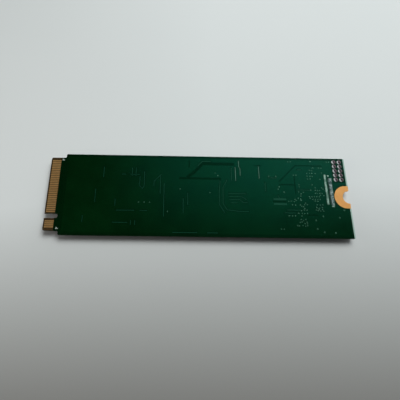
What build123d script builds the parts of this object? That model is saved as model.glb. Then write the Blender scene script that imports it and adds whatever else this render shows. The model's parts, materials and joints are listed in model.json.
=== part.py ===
from build123d import *

import os
from dataclasses import dataclass
from math import isclose

# Gumstick solid state drive: a bare card with chips on one side only.
# It lies as it would on a bench, chips down and bare face up, connector toward -X.
# Card coordinates, in millimetres: x runs from the connector's edge to the screw end,
# y runs across the card from its centre line, z runs up from the surface it lies on.
# Each piece is written with x measured from the middle of the card instead.

# Card outline: its width follows from the contacts and comes to 22 mm
CARD_LENGTH = 80.0
CARD_THICKNESS = 0.80  # over the foil on both faces
FOIL_THICKNESS = 0.035
CHIP_SIDE_HEIGHT = 1.20  # tallest chip above the card's chip face
CARD_CORNER_RADIUS = 0.25

# Connector tab
TAB_LENGTH = 4.0
TAB_SIDE_MARGIN = 0.675  # middle of the outermost pin to the tab's side edge
TAB_CORNER_RADIUS = 0.45
SHOULDER_WIDTH = 1.075  # step from the tab out to the card's side edge
SHOULDER_RADIUS = 0.40
BEVEL_LENGTH = 0.42
BEVEL_DEPTH = 0.16

# Contact fingers: pins are counted from the far side of the tab, odd ones on the chip side
PIN_COUNT = 75
PIN_PITCH = 0.25  # between neighbouring pins, which lie on opposite faces
CHIP_SIDE_PINS = range(1, PIN_COUNT + 1, 2)
BARE_SIDE_PINS = range(2, PIN_COUNT + 1, 2)
KEY_PINS = range(59, 67)  # left out where the key notch is
FINGER_WIDTH = 0.35
FINGER_LENGTH = 2.25
FINGER_SETBACK = 0.02  # from the bevel's inner edge
NOTCH_WIDTH = 1.20
NOTCH_DEPTH = 3.50

# Screw end: half a plated hole on the end edge, inside a U-shaped pad on both faces
SCREW_HOLE_RADIUS = 1.75
SCREW_PAD_LENGTH = 4.0
SCREW_PAD_WIDTH = 6.16
PLATING_THICKNESS = 0.05

# Service header: unfilled plated holes in the corner beside the screw pad
HEADER_COLUMNS = 2
HEADER_ROWS = 5
HEADER_COLUMN_PITCH = 1.50
HEADER_ROW_PITCH = 1.27
HEADER_END_INSET = 1.42  # end edge to the last column
HEADER_SIDE_INSET = 1.05  # side edge to the first row
HEADER_HOLE_RADIUS = 0.29
HEADER_RING_RADIUS = 0.57
HEADER_SIDES = 16  # its small circles have flat sides, within 0.01 mm of round

# Layout of the chip side
CONNECTOR_KEEPOUT = 0.60  # shoulder of the tab to the first parts
SCREW_KEEPOUT = 0.60  # screw pad to the nearest part
SIDE_KEEPOUT = 0.55  # side edge of the card to the nearest part
PART_GAP = 0.70  # between neighbours in a stack of parts

# Ball grid packages: body size along x and y, then the grid
BALL_HEIGHT = 0.22
BALL_WIDTH = 0.34
FLASH_LENGTH = 12.0
FLASH_WIDTH = 18.0
FLASH_PITCH = 1.0
FLASH_COLUMNS = 6
FLASH_ROWS = 16
MEMORY_LENGTH = 9.0
MEMORY_WIDTH = 13.3
MEMORY_HEIGHT = 1.0
MEMORY_PITCH = 0.8
MEMORY_BANK_COLUMNS = 3
MEMORY_BANK_GAP = 2.4  # between the inner columns of the two banks
MEMORY_ROWS = 16
CONTROLLER_WIDTH = 12.0
CONTROLLER_PITCH = 0.8
CONTROLLER_RING_COUNT = 3
CONTROLLER_SIDE_BALL_COUNT = 14
CONTROLLER_CORE_BALL_COUNT = 4
CONTROLLER_SUBSTRATE_HEIGHT = 0.30
CONTROLLER_CAP_MARGIN = 0.60
CONTROLLER_CAP_TAPER = 12.0  # degrees off upright
CONTROLLER_CAP_CORNER = 0.80

# Leads of the leadless packages
LEAD_THICKNESS = 0.10
LEAD_LENGTH = 0.45
LEAD_TOE = 0.10  # how far a lead shows past its body
LEAD_SHARE = 0.5  # lead width over lead pitch

# Regulator with bent leads
REGULATOR_LENGTH = 2.9
REGULATOR_BODY_WIDTH = 1.6
REGULATOR_SPAN = 2.8  # over the feet of both rows
REGULATOR_HEIGHT = 1.0
REGULATOR_STANDOFF = 0.08
REGULATOR_SIDE_LEAD_COUNT = 3
REGULATOR_LEAD_PITCH = 0.95
REGULATOR_LEAD_WIDTH = 0.40
REGULATOR_LEAD_THICKNESS = 0.14
REGULATOR_FOOT_LENGTH = 0.35
REGULATOR_BODY_CHAMFER = 0.12

# Clock crystal
CRYSTAL_LENGTH = 2.5
CRYSTAL_WIDTH = 2.0
CRYSTAL_BASE_HEIGHT = 0.32
CRYSTAL_LID_HEIGHT = 0.20
CRYSTAL_LID_MARGIN = 0.15
CRYSTAL_LID_CHAMFER = 0.20
CRYSTAL_BASE_CHAMFER = 0.15

# Power inductors
INDUCTOR_COUNT = 3
INDUCTOR_LENGTH = 2.5
INDUCTOR_WIDTH = 2.0
INDUCTOR_CHAMFER = 0.12
INDUCTOR_TERMINAL_LENGTH = 0.60
INDUCTOR_TERMINAL_THICKNESS = 0.08

# Moulded bulk capacitor
BULK_LENGTH = 3.5
BULK_WIDTH = 2.8
BULK_HEIGHT = 1.10
BULK_TAPER_INSET = 0.10
BULK_TERMINAL_THICKNESS = 0.12
BULK_TERMINAL_LENGTH = 0.70
BULK_TERMINAL_WIDTH = 2.20
BULK_TERMINAL_RISE = 0.60

# Small parts in lanes and rows beside the packages
LANE_CHIP_COUNT = 7
LANE_CHIP_PITCH = 2.20
ROW_CHIP_PITCH = 1.30
MEMORY_ROW_CHIP_COUNT = 6
CONTROLLER_ROW_CHIP_COUNT = 4
FLASH_ROW_CHIP_COUNT = 3
FLASH_ROW_PITCH = 3.0
POWER_CHIP_COUNT = 9


@dataclass(frozen=True)
class ChipForm:
    """A small part with a metal cap on each end: length runs from cap to cap."""

    length: float
    width: float
    height: float
    cap: float
    skin: float = 0.02  # how far the caps stand proud of the body


@dataclass(frozen=True)
class LeadlessForm:
    """A moulded package on flat leads, along two edges or all four."""

    length: float
    width: float
    height: float
    lead_rows: tuple  # turns of the edges that carry leads
    row_lead_count: int
    lead_pitch: float
    paddle_length: float
    paddle_width: float


SMALL_CAPACITOR = ChipForm(length=1.0, width=0.5, height=0.50, cap=0.25)
MEDIUM_CAPACITOR = ChipForm(length=1.6, width=0.8, height=0.80, cap=0.35)
LARGE_CAPACITOR = ChipForm(length=2.0, width=1.25, height=1.10, cap=0.45)
RESISTOR = ChipForm(length=1.0, width=0.5, height=0.35, cap=0.22)
FERRITE_BEAD = ChipForm(length=1.6, width=0.8, height=0.70, cap=0.30)
FUSE = ChipForm(length=1.6, width=0.8, height=0.60, cap=0.32)

POWER_MANAGER = LeadlessForm(
    length=4.0,
    width=4.0,
    height=0.85,
    lead_rows=(0, 90, 180, 270),
    row_lead_count=5,
    lead_pitch=0.50,
    paddle_length=2.4,
    paddle_width=2.4,
)
BOOT_FLASH = LeadlessForm(
    length=3.0,
    width=2.0,
    height=0.60,
    lead_rows=(0, 180),
    row_lead_count=4,
    lead_pitch=0.45,
    paddle_length=1.6,
    paddle_width=1.4,
)
LOAD_SWITCH = LeadlessForm(
    length=2.0,
    width=2.0,
    height=0.75,
    lead_rows=(0, 180),
    row_lead_count=3,
    lead_pitch=0.65,
    paddle_length=0.7,
    paddle_width=1.5,
)
TEMPERATURE_SENSOR = LeadlessForm(
    length=2.0,
    width=1.6,
    height=0.70,
    lead_rows=(0, 180),
    row_lead_count=3,
    lead_pitch=0.50,
    paddle_length=0.7,
    paddle_width=1.1,
)

# Widths that follow from the contacts
TAB_WIDTH = (PIN_COUNT - 1) * PIN_PITCH + 2 * TAB_SIDE_MARGIN
CARD_WIDTH = TAB_WIDTH + 2 * SHOULDER_WIDTH

# Levels, from the surface that the drive lies on
BOARD_THICKNESS = CARD_THICKNESS - 2 * FOIL_THICKNESS
CHIP_FACE = CHIP_SIDE_HEIGHT
BARE_FACE = CHIP_FACE + BOARD_THICKNESS

# Places along the card: what the packages leave free is shared out as lanes between them
POWER_START = TAB_LENGTH + CONNECTOR_KEEPOUT
MANAGER_X = POWER_START + max(POWER_MANAGER.length, BULK_LENGTH) / 2
INDUCTOR_X = (
    MANAGER_X
    + max(POWER_MANAGER.length, BULK_LENGTH) / 2
    + PART_GAP
    + max(REGULATOR_LENGTH, INDUCTOR_LENGTH) / 2
)
POWER_CHIP_X = (
    INDUCTOR_X
    + max(REGULATOR_LENGTH, INDUCTOR_LENGTH) / 2
    + PART_GAP
    + SMALL_CAPACITOR.length / 2
)
POWER_END = POWER_CHIP_X + SMALL_CAPACITOR.length / 2
PACKAGE_END = CARD_LENGTH - SCREW_PAD_LENGTH - SCREW_KEEPOUT
PACKAGE_RUN = 2 * FLASH_LENGTH + MEMORY_LENGTH + CONTROLLER_WIDTH
LANE_COUNT = 5
LANE = (PACKAGE_END - POWER_END - PACKAGE_RUN) / LANE_COUNT
FLASH_1_X = POWER_END + LANE + FLASH_LENGTH / 2
FLASH_2_X = FLASH_1_X + FLASH_LENGTH + LANE
MEMORY_X = FLASH_2_X + (FLASH_LENGTH + MEMORY_LENGTH) / 2 + LANE
CONTROLLER_X = MEMORY_X + (MEMORY_LENGTH + CONTROLLER_WIDTH) / 2 + LANE
FIRST_LANE_X = FLASH_1_X - (FLASH_LENGTH + LANE) / 2
LANE_X = [
    FIRST_LANE_X,
    FIRST_LANE_X + FLASH_LENGTH + LANE,
    FIRST_LANE_X + 2 * (FLASH_LENGTH + LANE),
    MEMORY_X + (MEMORY_LENGTH + LANE) / 2,
    CONTROLLER_X + (CONTROLLER_WIDTH + LANE) / 2,
]


def block(length, width, height, z=0.0):
    """A box centred in plan, standing on level z."""
    return Pos(0, 0, z) * Box(length, width, height, align=(Align.CENTER, Align.CENTER, Align.MIN))


def span(x0, x1, y0, y1, z0, z1):
    """A box between two corners, in card coordinates."""
    centre = Pos((x0 + x1) / 2, (y0 + y1) / 2, z0)
    return centre * block(x1 - x0, y1 - y0, z1 - z0)


def under(shape, x, y, turn=0.0):
    """Hangs a part that was built standing on z = 0 from the card's chip face."""
    return Pos(x, y, CHIP_FACE) * Rot(180, 0, 0) * Rot(0, 0, turn) * shape


def centred(count, pitch):
    """Evenly pitched places about zero."""
    return [(i - (count - 1) / 2) * pitch for i in range(count)]


def save(node, shapes):
    """Writes one piece, or a group of like pieces, with x from the card's middle."""
    placed = [Pos(-CARD_LENGTH / 2, 0, 0) * shape for shape in shapes]
    whole = placed[0] if len(placed) == 1 else Compound(children=placed)
    export_step(whole, os.path.join("parts", node + ".step"))


# The card


def pin_place(pin):
    """How far across the card a contact finger lies."""
    return ((PIN_COUNT + 1) / 2 - pin) * PIN_PITCH


def header_places():
    """Centres of the service header's holes, column by column."""
    last_x = CARD_LENGTH - HEADER_END_INSET
    first_y = CARD_WIDTH / 2 - HEADER_SIDE_INSET
    return [
        (last_x - column * HEADER_COLUMN_PITCH, first_y - row * HEADER_ROW_PITCH)
        for column in range(HEADER_COLUMNS)
        for row in range(HEADER_ROWS)
    ]


def card_plan():
    """The card's outline, with its key notch and the half hole on its end edge."""
    body_length = CARD_LENGTH - TAB_LENGTH
    body = Pos(TAB_LENGTH + body_length / 2, 0) * Rectangle(body_length, CARD_WIDTH)
    tab = Pos(TAB_LENGTH / 2, 0) * Rectangle(TAB_LENGTH, TAB_WIDTH)
    plan = body + tab
    inner = plan.vertices().filter_by(lambda v: isclose(v.X, TAB_LENGTH) and abs(v.Y) < CARD_WIDTH / 2)
    plan = fillet(inner, SHOULDER_RADIUS)
    tips = plan.vertices().filter_by(lambda v: v.X < TAB_LENGTH / 2)
    plan = fillet(tips, TAB_CORNER_RADIUS)
    corners = plan.vertices().filter_by(lambda v: isclose(abs(v.Y), CARD_WIDTH / 2))
    plan = fillet(corners, CARD_CORNER_RADIUS)
    key_y = (pin_place(KEY_PINS[0]) + pin_place(KEY_PINS[-1])) / 2
    straight = NOTCH_DEPTH - NOTCH_WIDTH / 2
    notch = Pos(straight / 2, key_y) * Rectangle(straight, NOTCH_WIDTH)
    notch += Pos(straight, key_y) * Circle(NOTCH_WIDTH / 2)
    drilled = Pos(CARD_LENGTH, 0) * Circle(SCREW_HOLE_RADIUS + PLATING_THICKNESS)
    return plan - notch - drilled


def circuit_board():
    """The laminate: the plan, cut to a side profile that bevels both faces of the tab."""
    plan = extrude(Pos(0, 0, CHIP_FACE) * card_plan(), amount=BOARD_THICKNESS)
    profile = Polygon(
        (0, CHIP_FACE + BEVEL_DEPTH),
        (BEVEL_LENGTH, CHIP_FACE),
        (CARD_LENGTH, CHIP_FACE),
        (CARD_LENGTH, BARE_FACE),
        (BEVEL_LENGTH, BARE_FACE),
        (0, BARE_FACE - BEVEL_DEPTH),
        align=None,
    )
    side = extrude(Plane.XZ * profile, amount=CARD_WIDTH / 2, both=True)
    drill = RegularPolygon(HEADER_HOLE_RADIUS + PLATING_THICKNESS, HEADER_SIDES)
    holes = [
        extrude(Pos(x, y, CHIP_FACE) * drill, amount=BOARD_THICKNESS) for x, y in header_places()
    ]
    return (plan & side) - holes


def edge_fingers(side_pins, z0, z1):
    """The contact fingers of one face, skipping the pins that the key notch takes."""
    start = BEVEL_LENGTH + FINGER_SETBACK
    half = FINGER_WIDTH / 2
    places = [pin_place(pin) for pin in side_pins if pin not in KEY_PINS]
    return [span(start, start + FINGER_LENGTH, y - half, y + half, z0, z1) for y in places]


def card_end_plating():
    """One plating: a U-shaped pad on each face, joined by the lining of the half hole."""
    radius = SCREW_PAD_WIDTH / 2
    bend_x = CARD_LENGTH - SCREW_PAD_LENGTH + radius
    straight = CARD_LENGTH - bend_x
    pad = Pos(bend_x, 0) * Circle(radius)
    pad += Pos(bend_x + straight / 2, 0) * Rectangle(straight, SCREW_PAD_WIDTH)
    pad -= Pos(CARD_LENGTH + radius, 0) * Rectangle(2 * radius, 2 * SCREW_PAD_WIDTH)
    bottom = CHIP_FACE - FOIL_THICKNESS
    chip_pad = extrude(Pos(0, 0, bottom) * pad, amount=FOIL_THICKNESS)
    bare_pad = extrude(Pos(0, 0, BARE_FACE) * pad, amount=FOIL_THICKNESS)
    lining = Pos(CARD_LENGTH, 0) * Circle(SCREW_HOLE_RADIUS + PLATING_THICKNESS)
    lining &= Pos(CARD_LENGTH - radius, 0) * Rectangle(2 * radius, 2 * SCREW_PAD_WIDTH)
    barrel = extrude(Pos(0, 0, bottom) * lining, amount=CARD_THICKNESS)
    hole = extrude(
        Pos(CARD_LENGTH, 0, bottom) * Circle(SCREW_HOLE_RADIUS), amount=CARD_THICKNESS
    )
    return chip_pad + bare_pad + barrel - hole


def header_tube(outer, z0, z1):
    """A stretch of a header hole's plating, open down its middle."""
    section = RegularPolygon(outer, HEADER_SIDES) - RegularPolygon(HEADER_HOLE_RADIUS, HEADER_SIDES)
    return extrude(Pos(0, 0, z0) * section, amount=z1 - z0)


def header_plating():
    """One plated hole: its lining, with a flat ring on each face of the laminate."""
    lining = header_tube(HEADER_HOLE_RADIUS + PLATING_THICKNESS, CHIP_FACE, BARE_FACE)
    chip_ring = header_tube(HEADER_RING_RADIUS, CHIP_FACE - FOIL_THICKNESS, CHIP_FACE)
    bare_ring = header_tube(HEADER_RING_RADIUS, BARE_FACE, BARE_FACE + FOIL_THICKNESS)
    return chip_ring + lining + bare_ring


# Ball grid packages


def balls(places):
    """Solder joints between the card and a package, plain posts at each place."""
    post = block(BALL_WIDTH, BALL_WIDTH, BALL_HEIGHT)
    return [Pos(x, y, 0) * post for x, y in places]


def flash_grid():
    return [
        (x, y)
        for x in centred(FLASH_COLUMNS, FLASH_PITCH)
        for y in centred(FLASH_ROWS, FLASH_PITCH)
    ]


def memory_grid():
    """Two banks of columns with bare substrate between them."""
    bank_shift = (MEMORY_BANK_GAP + (MEMORY_BANK_COLUMNS - 1) * MEMORY_PITCH) / 2
    return [
        (side * bank_shift + x, y)
        for side in (-1, 1)
        for x in centred(MEMORY_BANK_COLUMNS, MEMORY_PITCH)
        for y in centred(MEMORY_ROWS, MEMORY_PITCH)
    ]


def controller_grid():
    """Rings round the rim, and a small square under the die."""
    places = []
    side = centred(CONTROLLER_SIDE_BALL_COUNT, CONTROLLER_PITCH)
    ring_limit = side[CONTROLLER_RING_COUNT]
    core_limit = centred(CONTROLLER_CORE_BALL_COUNT, CONTROLLER_PITCH)[0]
    slack = CONTROLLER_PITCH / 4
    for x in side:
        for y in side:
            reach = max(abs(x), abs(y))
            if reach > abs(ring_limit) + slack or reach < abs(core_limit) + slack:
                places.append((x, y))
    return places


def controller_package():
    """A square substrate with a smaller moulded cap, its walls drafted and corners cut."""
    substrate = block(CONTROLLER_WIDTH, CONTROLLER_WIDTH, CONTROLLER_SUBSTRATE_HEIGHT, BALL_HEIGHT)
    cap_width = CONTROLLER_WIDTH - 2 * CONTROLLER_CAP_MARGIN
    cap_plan = Rectangle(cap_width, cap_width)
    cap_plan = chamfer(cap_plan.vertices(), CONTROLLER_CAP_CORNER)
    cap_level = BALL_HEIGHT + CONTROLLER_SUBSTRATE_HEIGHT
    cap_height = CHIP_SIDE_HEIGHT - cap_level
    cap = extrude(Pos(0, 0, cap_level) * cap_plan, amount=cap_height, taper=CONTROLLER_CAP_TAPER)
    return substrate + cap


# Leaded and leadless packages


def leadless_leads(form):
    """Flat leads that stick out a little from under the body, and the paddle between them."""
    reach = LEAD_LENGTH + LEAD_TOE
    lead = block(reach, form.lead_pitch * LEAD_SHARE, LEAD_THICKNESS)
    leads = [block(form.paddle_length, form.paddle_width, LEAD_THICKNESS)]
    for turn in form.lead_rows:
        across = form.length if turn % 180 == 0 else form.width
        x = across / 2 + LEAD_TOE - reach / 2
        for y in centred(form.row_lead_count, form.lead_pitch):
            leads.append(Rot(0, 0, turn) * Pos(x, y, 0) * lead)
    return leads


def leadless_body(form):
    return block(form.length, form.width, form.height - LEAD_THICKNESS, LEAD_THICKNESS)


def regulator_lead():
    """A bent lead at the +y side: foot, riser and shoulder in one strip."""
    t = REGULATOR_LEAD_THICKNESS
    exit_level = REGULATOR_STANDOFF + (REGULATOR_HEIGHT - REGULATOR_STANDOFF) / 2
    toe = REGULATOR_SPAN / 2
    heel = toe - REGULATOR_FOOT_LENGTH
    root = REGULATOR_BODY_WIDTH / 2
    strip = Polygon(
        (root, exit_level - t / 2),
        (heel, exit_level - t / 2),
        (heel, 0),
        (toe, 0),
        (toe, t),
        (heel + t, t),
        (heel + t, exit_level + t / 2),
        (root, exit_level + t / 2),
        align=None,
    )
    return extrude(Plane.YZ * strip, amount=REGULATOR_LEAD_WIDTH / 2, both=True)


def regulator_leads():
    return [
        Rot(0, 0, turn) * Pos(x, 0, 0) * regulator_lead()
        for turn in (0, 180)
        for x in centred(REGULATOR_SIDE_LEAD_COUNT, REGULATOR_LEAD_PITCH)
    ]


def regulator_package():
    height = REGULATOR_HEIGHT - REGULATOR_STANDOFF
    body = block(REGULATOR_LENGTH, REGULATOR_BODY_WIDTH, height, REGULATOR_STANDOFF)
    top = body.faces().sort_by(Axis.Z)[-1]
    return chamfer(top.edges(), REGULATOR_BODY_CHAMFER)


def crystal_base():
    """A ceramic tray with its corners cut."""
    plan = Rectangle(CRYSTAL_LENGTH, CRYSTAL_WIDTH)
    plan = chamfer(plan.vertices(), CRYSTAL_BASE_CHAMFER)
    return extrude(plan, amount=CRYSTAL_BASE_HEIGHT)


def crystal_lid():
    """The metal lid that seals the tray."""
    inset = 2 * CRYSTAL_LID_MARGIN
    plan = Rectangle(CRYSTAL_LENGTH - inset, CRYSTAL_WIDTH - inset)
    plan = chamfer(plan.vertices(), CRYSTAL_LID_CHAMFER)
    return extrude(Pos(0, 0, CRYSTAL_BASE_HEIGHT) * plan, amount=CRYSTAL_LID_HEIGHT)


def inductor_core():
    """A pressed block that stands on its two flat terminals."""
    height = CHIP_SIDE_HEIGHT - INDUCTOR_TERMINAL_THICKNESS
    core = block(INDUCTOR_LENGTH, INDUCTOR_WIDTH, height, INDUCTOR_TERMINAL_THICKNESS)
    return chamfer(core.edges().filter_by(Axis.Z), INDUCTOR_CHAMFER)


def inductor_terminals():
    x = (INDUCTOR_LENGTH - INDUCTOR_TERMINAL_LENGTH) / 2
    width = INDUCTOR_WIDTH - 2 * INDUCTOR_CHAMFER
    pad = block(INDUCTOR_TERMINAL_LENGTH, width, INDUCTOR_TERMINAL_THICKNESS)
    return [Pos(side * x, 0, 0) * pad for side in (-1, 1)]


def bulk_case():
    """A moulded case that narrows a little toward its top."""
    t = BULK_TERMINAL_THICKNESS
    foot = Pos(0, 0, t) * Rectangle(BULK_LENGTH - 2 * t, BULK_WIDTH)
    crown = Pos(0, 0, BULK_HEIGHT) * Rectangle(
        BULK_LENGTH - 2 * t - 2 * BULK_TAPER_INSET, BULK_WIDTH - 2 * BULK_TAPER_INSET
    )
    return loft([foot, crown])


def bulk_terminals():
    """A strip at each end: it rises beside the case and folds flat under it."""
    t = BULK_TERMINAL_THICKNESS
    end = BULK_LENGTH / 2
    strip = Polygon(
        (end, 0),
        (end, BULK_TERMINAL_RISE),
        (end - t, BULK_TERMINAL_RISE),
        (end - t, t),
        (end - BULK_TERMINAL_LENGTH, t),
        (end - BULK_TERMINAL_LENGTH, 0),
        align=None,
    )
    one = extrude(Plane.XZ * strip, amount=BULK_TERMINAL_WIDTH / 2, both=True)
    return [Rot(0, 0, turn) * one for turn in (0, 180)]


# Chip capacitors, resistors and the like


def chip_body(form):
    """The middle of a chip part, between its end caps and clear of the card."""
    length = form.length - 2 * form.cap
    return block(length, form.width - 2 * form.skin, form.height - 2 * form.skin, form.skin)


def chip_caps(form):
    cap = block(form.cap, form.width, form.height)
    x = (form.length - form.cap) / 2
    return [Pos(side * x, 0, 0) * cap for side in (-1, 1)]


class ChipRows:
    """Gathers where the small parts hang, kind by kind, and writes each kind once."""

    def __init__(self):
        self.kinds = {}

    def add(self, kind, form, x, y, turn=0.0):
        self.kinds.setdefault(kind, (form, []))[1].append((x, y, turn))

    def save(self):
        for kind, (form, places) in self.kinds.items():
            bodies = [under(chip_body(form), x, y, turn) for x, y, turn in places]
            caps = [under(cap, x, y, turn) for x, y, turn in places for cap in chip_caps(form)]
            save(kind + "_bodies", bodies)
            save(kind + "_terminals", caps)


def spread(extents):
    """Centres of parts shared out across the card from +y to -y, with equal gaps."""
    reach = CARD_WIDTH / 2 - SIDE_KEEPOUT
    gap = (2 * reach - sum(extents)) / (len(extents) - 1)
    places = []
    edge = reach
    for extent in extents:
        places.append(edge - extent / 2)
        edge -= extent + gap
    return places


def power_manager_column(chips):
    """Input side of the power supply, nearest the connector."""
    form = LARGE_CAPACITOR
    widths = [
        FUSE.width,
        LOAD_SWITCH.width,
        POWER_MANAGER.width,
        form.width,
        form.width,
        BULK_WIDTH,
        FERRITE_BEAD.width,
    ]
    fuse, switch, manager, large_1, large_2, bulk, bead = spread(widths)
    chips.add("input_fuse", FUSE, MANAGER_X, fuse)
    chips.add("ferrite_bead", FERRITE_BEAD, MANAGER_X, bead)
    for y in (large_1, large_2):
        chips.add("large_capacitor", form, MANAGER_X, y)
    save_leadless("load_switch", LOAD_SWITCH, MANAGER_X, switch)
    save_leadless("power_manager", POWER_MANAGER, MANAGER_X, manager)
    save("bulk_capacitor_case", [under(bulk_case(), MANAGER_X, bulk)])
    save("bulk_capacitor_terminals", [under(t, MANAGER_X, bulk) for t in bulk_terminals()])


def inductor_column(chips):
    """Regulator first, then inductors and capacitors by turns."""
    widths = [REGULATOR_SPAN, MEDIUM_CAPACITOR.width]
    for _ in range(INDUCTOR_COUNT):
        widths += [INDUCTOR_WIDTH, MEDIUM_CAPACITOR.width]
    places = spread(widths)
    save("regulator_package", [under(regulator_package(), INDUCTOR_X, places[0])])
    save("regulator_leads", [under(lead, INDUCTOR_X, places[0]) for lead in regulator_leads()])
    for y in places[1::2]:
        chips.add("medium_capacitor", MEDIUM_CAPACITOR, INDUCTOR_X, y)
    cores, terminals = [], []
    for y in places[2::2]:
        cores.append(under(inductor_core(), INDUCTOR_X, y))
        terminals += [under(pad, INDUCTOR_X, y) for pad in inductor_terminals()]
    save("inductor_cores", cores)
    save("inductor_terminals", terminals)


def power_chip_column(chips):
    """Small parts at the end of the power zone, every third one a resistor."""
    for i, y in enumerate(spread([SMALL_CAPACITOR.width] * POWER_CHIP_COUNT)):
        if i % 3 == 2:
            chips.add("chip_resistor", RESISTOR, POWER_CHIP_X, y)
        else:
            chips.add("small_capacitor", SMALL_CAPACITOR, POWER_CHIP_X, y)


def lanes(chips):
    """Capacitors turned across the lanes between the packages, with a few resistors."""
    for lane, x in enumerate(LANE_X):
        for i, y in enumerate(centred(LANE_CHIP_COUNT, LANE_CHIP_PITCH)):
            if (lane + i) % 4 == 3:
                chips.add("chip_resistor", RESISTOR, x, y, 90)
            else:
                chips.add("small_capacitor", SMALL_CAPACITOR, x, y, 90)


def rows_beside_flash(chips):
    """A few capacitors between each flash package and the card's side edges."""
    y = (FLASH_WIDTH / 2 + CARD_WIDTH / 2 - SIDE_KEEPOUT) / 2
    for package_x in (FLASH_1_X, FLASH_2_X):
        for x in centred(FLASH_ROW_CHIP_COUNT, FLASH_ROW_PITCH):
            for side in (-1, 1):
                chips.add("small_capacitor", SMALL_CAPACITOR, package_x + x, side * y)


def rows_beside_memory(chips):
    """Capacitors close to the memory on both sides of it, resistors beyond them."""
    inner = MEMORY_WIDTH / 2 + PART_GAP + SMALL_CAPACITOR.length / 2
    outer = CARD_WIDTH / 2 - SIDE_KEEPOUT - RESISTOR.length / 2
    for x in centred(MEMORY_ROW_CHIP_COUNT, ROW_CHIP_PITCH):
        for side in (-1, 1):
            chips.add("small_capacitor", SMALL_CAPACITOR, MEMORY_X + x, side * inner, 90)
        chips.add("chip_resistor", RESISTOR, MEMORY_X + x, outer, 90)


def parts_beside_controller(chips):
    """Start-up memory on one side of the controller, clock and sensor on the other."""
    rim = CONTROLLER_WIDTH / 2
    boot_x = CONTROLLER_X - rim + BOOT_FLASH.length / 2 + LEAD_TOE
    save_leadless("boot_flash", BOOT_FLASH, boot_x, rim + PART_GAP + BOOT_FLASH.width / 2)
    row_y = rim + PART_GAP + SMALL_CAPACITOR.length / 2
    first = CONTROLLER_X + rim - SMALL_CAPACITOR.width / 2
    for i in range(CONTROLLER_ROW_CHIP_COUNT):
        x = first - i * ROW_CHIP_PITCH
        chips.add("small_capacitor", SMALL_CAPACITOR, x, row_y, 90)
        chips.add("chip_resistor", RESISTOR, x, -row_y, 90)

    crystal_x = first - CONTROLLER_ROW_CHIP_COUNT * ROW_CHIP_PITCH - CRYSTAL_LENGTH / 2
    crystal_y = -(rim + PART_GAP + CRYSTAL_WIDTH / 2)
    save("crystal_base", [under(crystal_base(), crystal_x, crystal_y)])
    save("crystal_lid", [under(crystal_lid(), crystal_x, crystal_y)])
    sensor_x = crystal_x - (CRYSTAL_LENGTH + TEMPERATURE_SENSOR.length) / 2 - PART_GAP - LEAD_TOE
    sensor_y = -(rim + PART_GAP + TEMPERATURE_SENSOR.width / 2)
    save_leadless("temperature_sensor", TEMPERATURE_SENSOR, sensor_x, sensor_y)


def save_leadless(name, form, x, y):
    save(name + "_package", [under(leadless_body(form), x, y)])
    save(name + "_leads", [under(lead, x, y) for lead in leadless_leads(form)])


def save_ball_grid(name, body, grid, x):
    save(name + "_package", [under(body, x, 0)])
    save(name + "_solder_balls", [under(ball, x, 0) for ball in balls(grid)])


def main():
    os.makedirs("parts", exist_ok=True)

    foil_bottom = CHIP_FACE - FOIL_THICKNESS
    save("circuit_board", [circuit_board()])
    save("bare_side_fingers", edge_fingers(BARE_SIDE_PINS, BARE_FACE, BARE_FACE + FOIL_THICKNESS))
    save("chip_side_fingers", edge_fingers(CHIP_SIDE_PINS, foil_bottom, CHIP_FACE))
    save("card_end_plating", [card_end_plating()])
    plated = header_plating()
    save("header_hole_platings", [Pos(x, y, 0) * plated for x, y in header_places()])

    flash_height = CHIP_SIDE_HEIGHT - BALL_HEIGHT
    flash = block(FLASH_LENGTH, FLASH_WIDTH, flash_height, BALL_HEIGHT)
    save_ball_grid("flash_1", flash, flash_grid(), FLASH_1_X)
    save_ball_grid("flash_2", flash, flash_grid(), FLASH_2_X)
    memory = block(MEMORY_LENGTH, MEMORY_WIDTH, MEMORY_HEIGHT - BALL_HEIGHT, BALL_HEIGHT)
    save_ball_grid("memory", memory, memory_grid(), MEMORY_X)
    save_ball_grid("controller", controller_package(), controller_grid(), CONTROLLER_X)

    chips = ChipRows()
    power_manager_column(chips)
    inductor_column(chips)
    power_chip_column(chips)
    lanes(chips)
    rows_beside_flash(chips)
    rows_beside_memory(chips)
    parts_beside_controller(chips)
    chips.save()


main()
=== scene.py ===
import json
import logging
import math
from contextlib import contextmanager
from dataclasses import dataclass
from enum import Enum
from typing import Callable, Iterable, Iterator, Sequence

import bpy
from mathutils import Matrix, Vector

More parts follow.
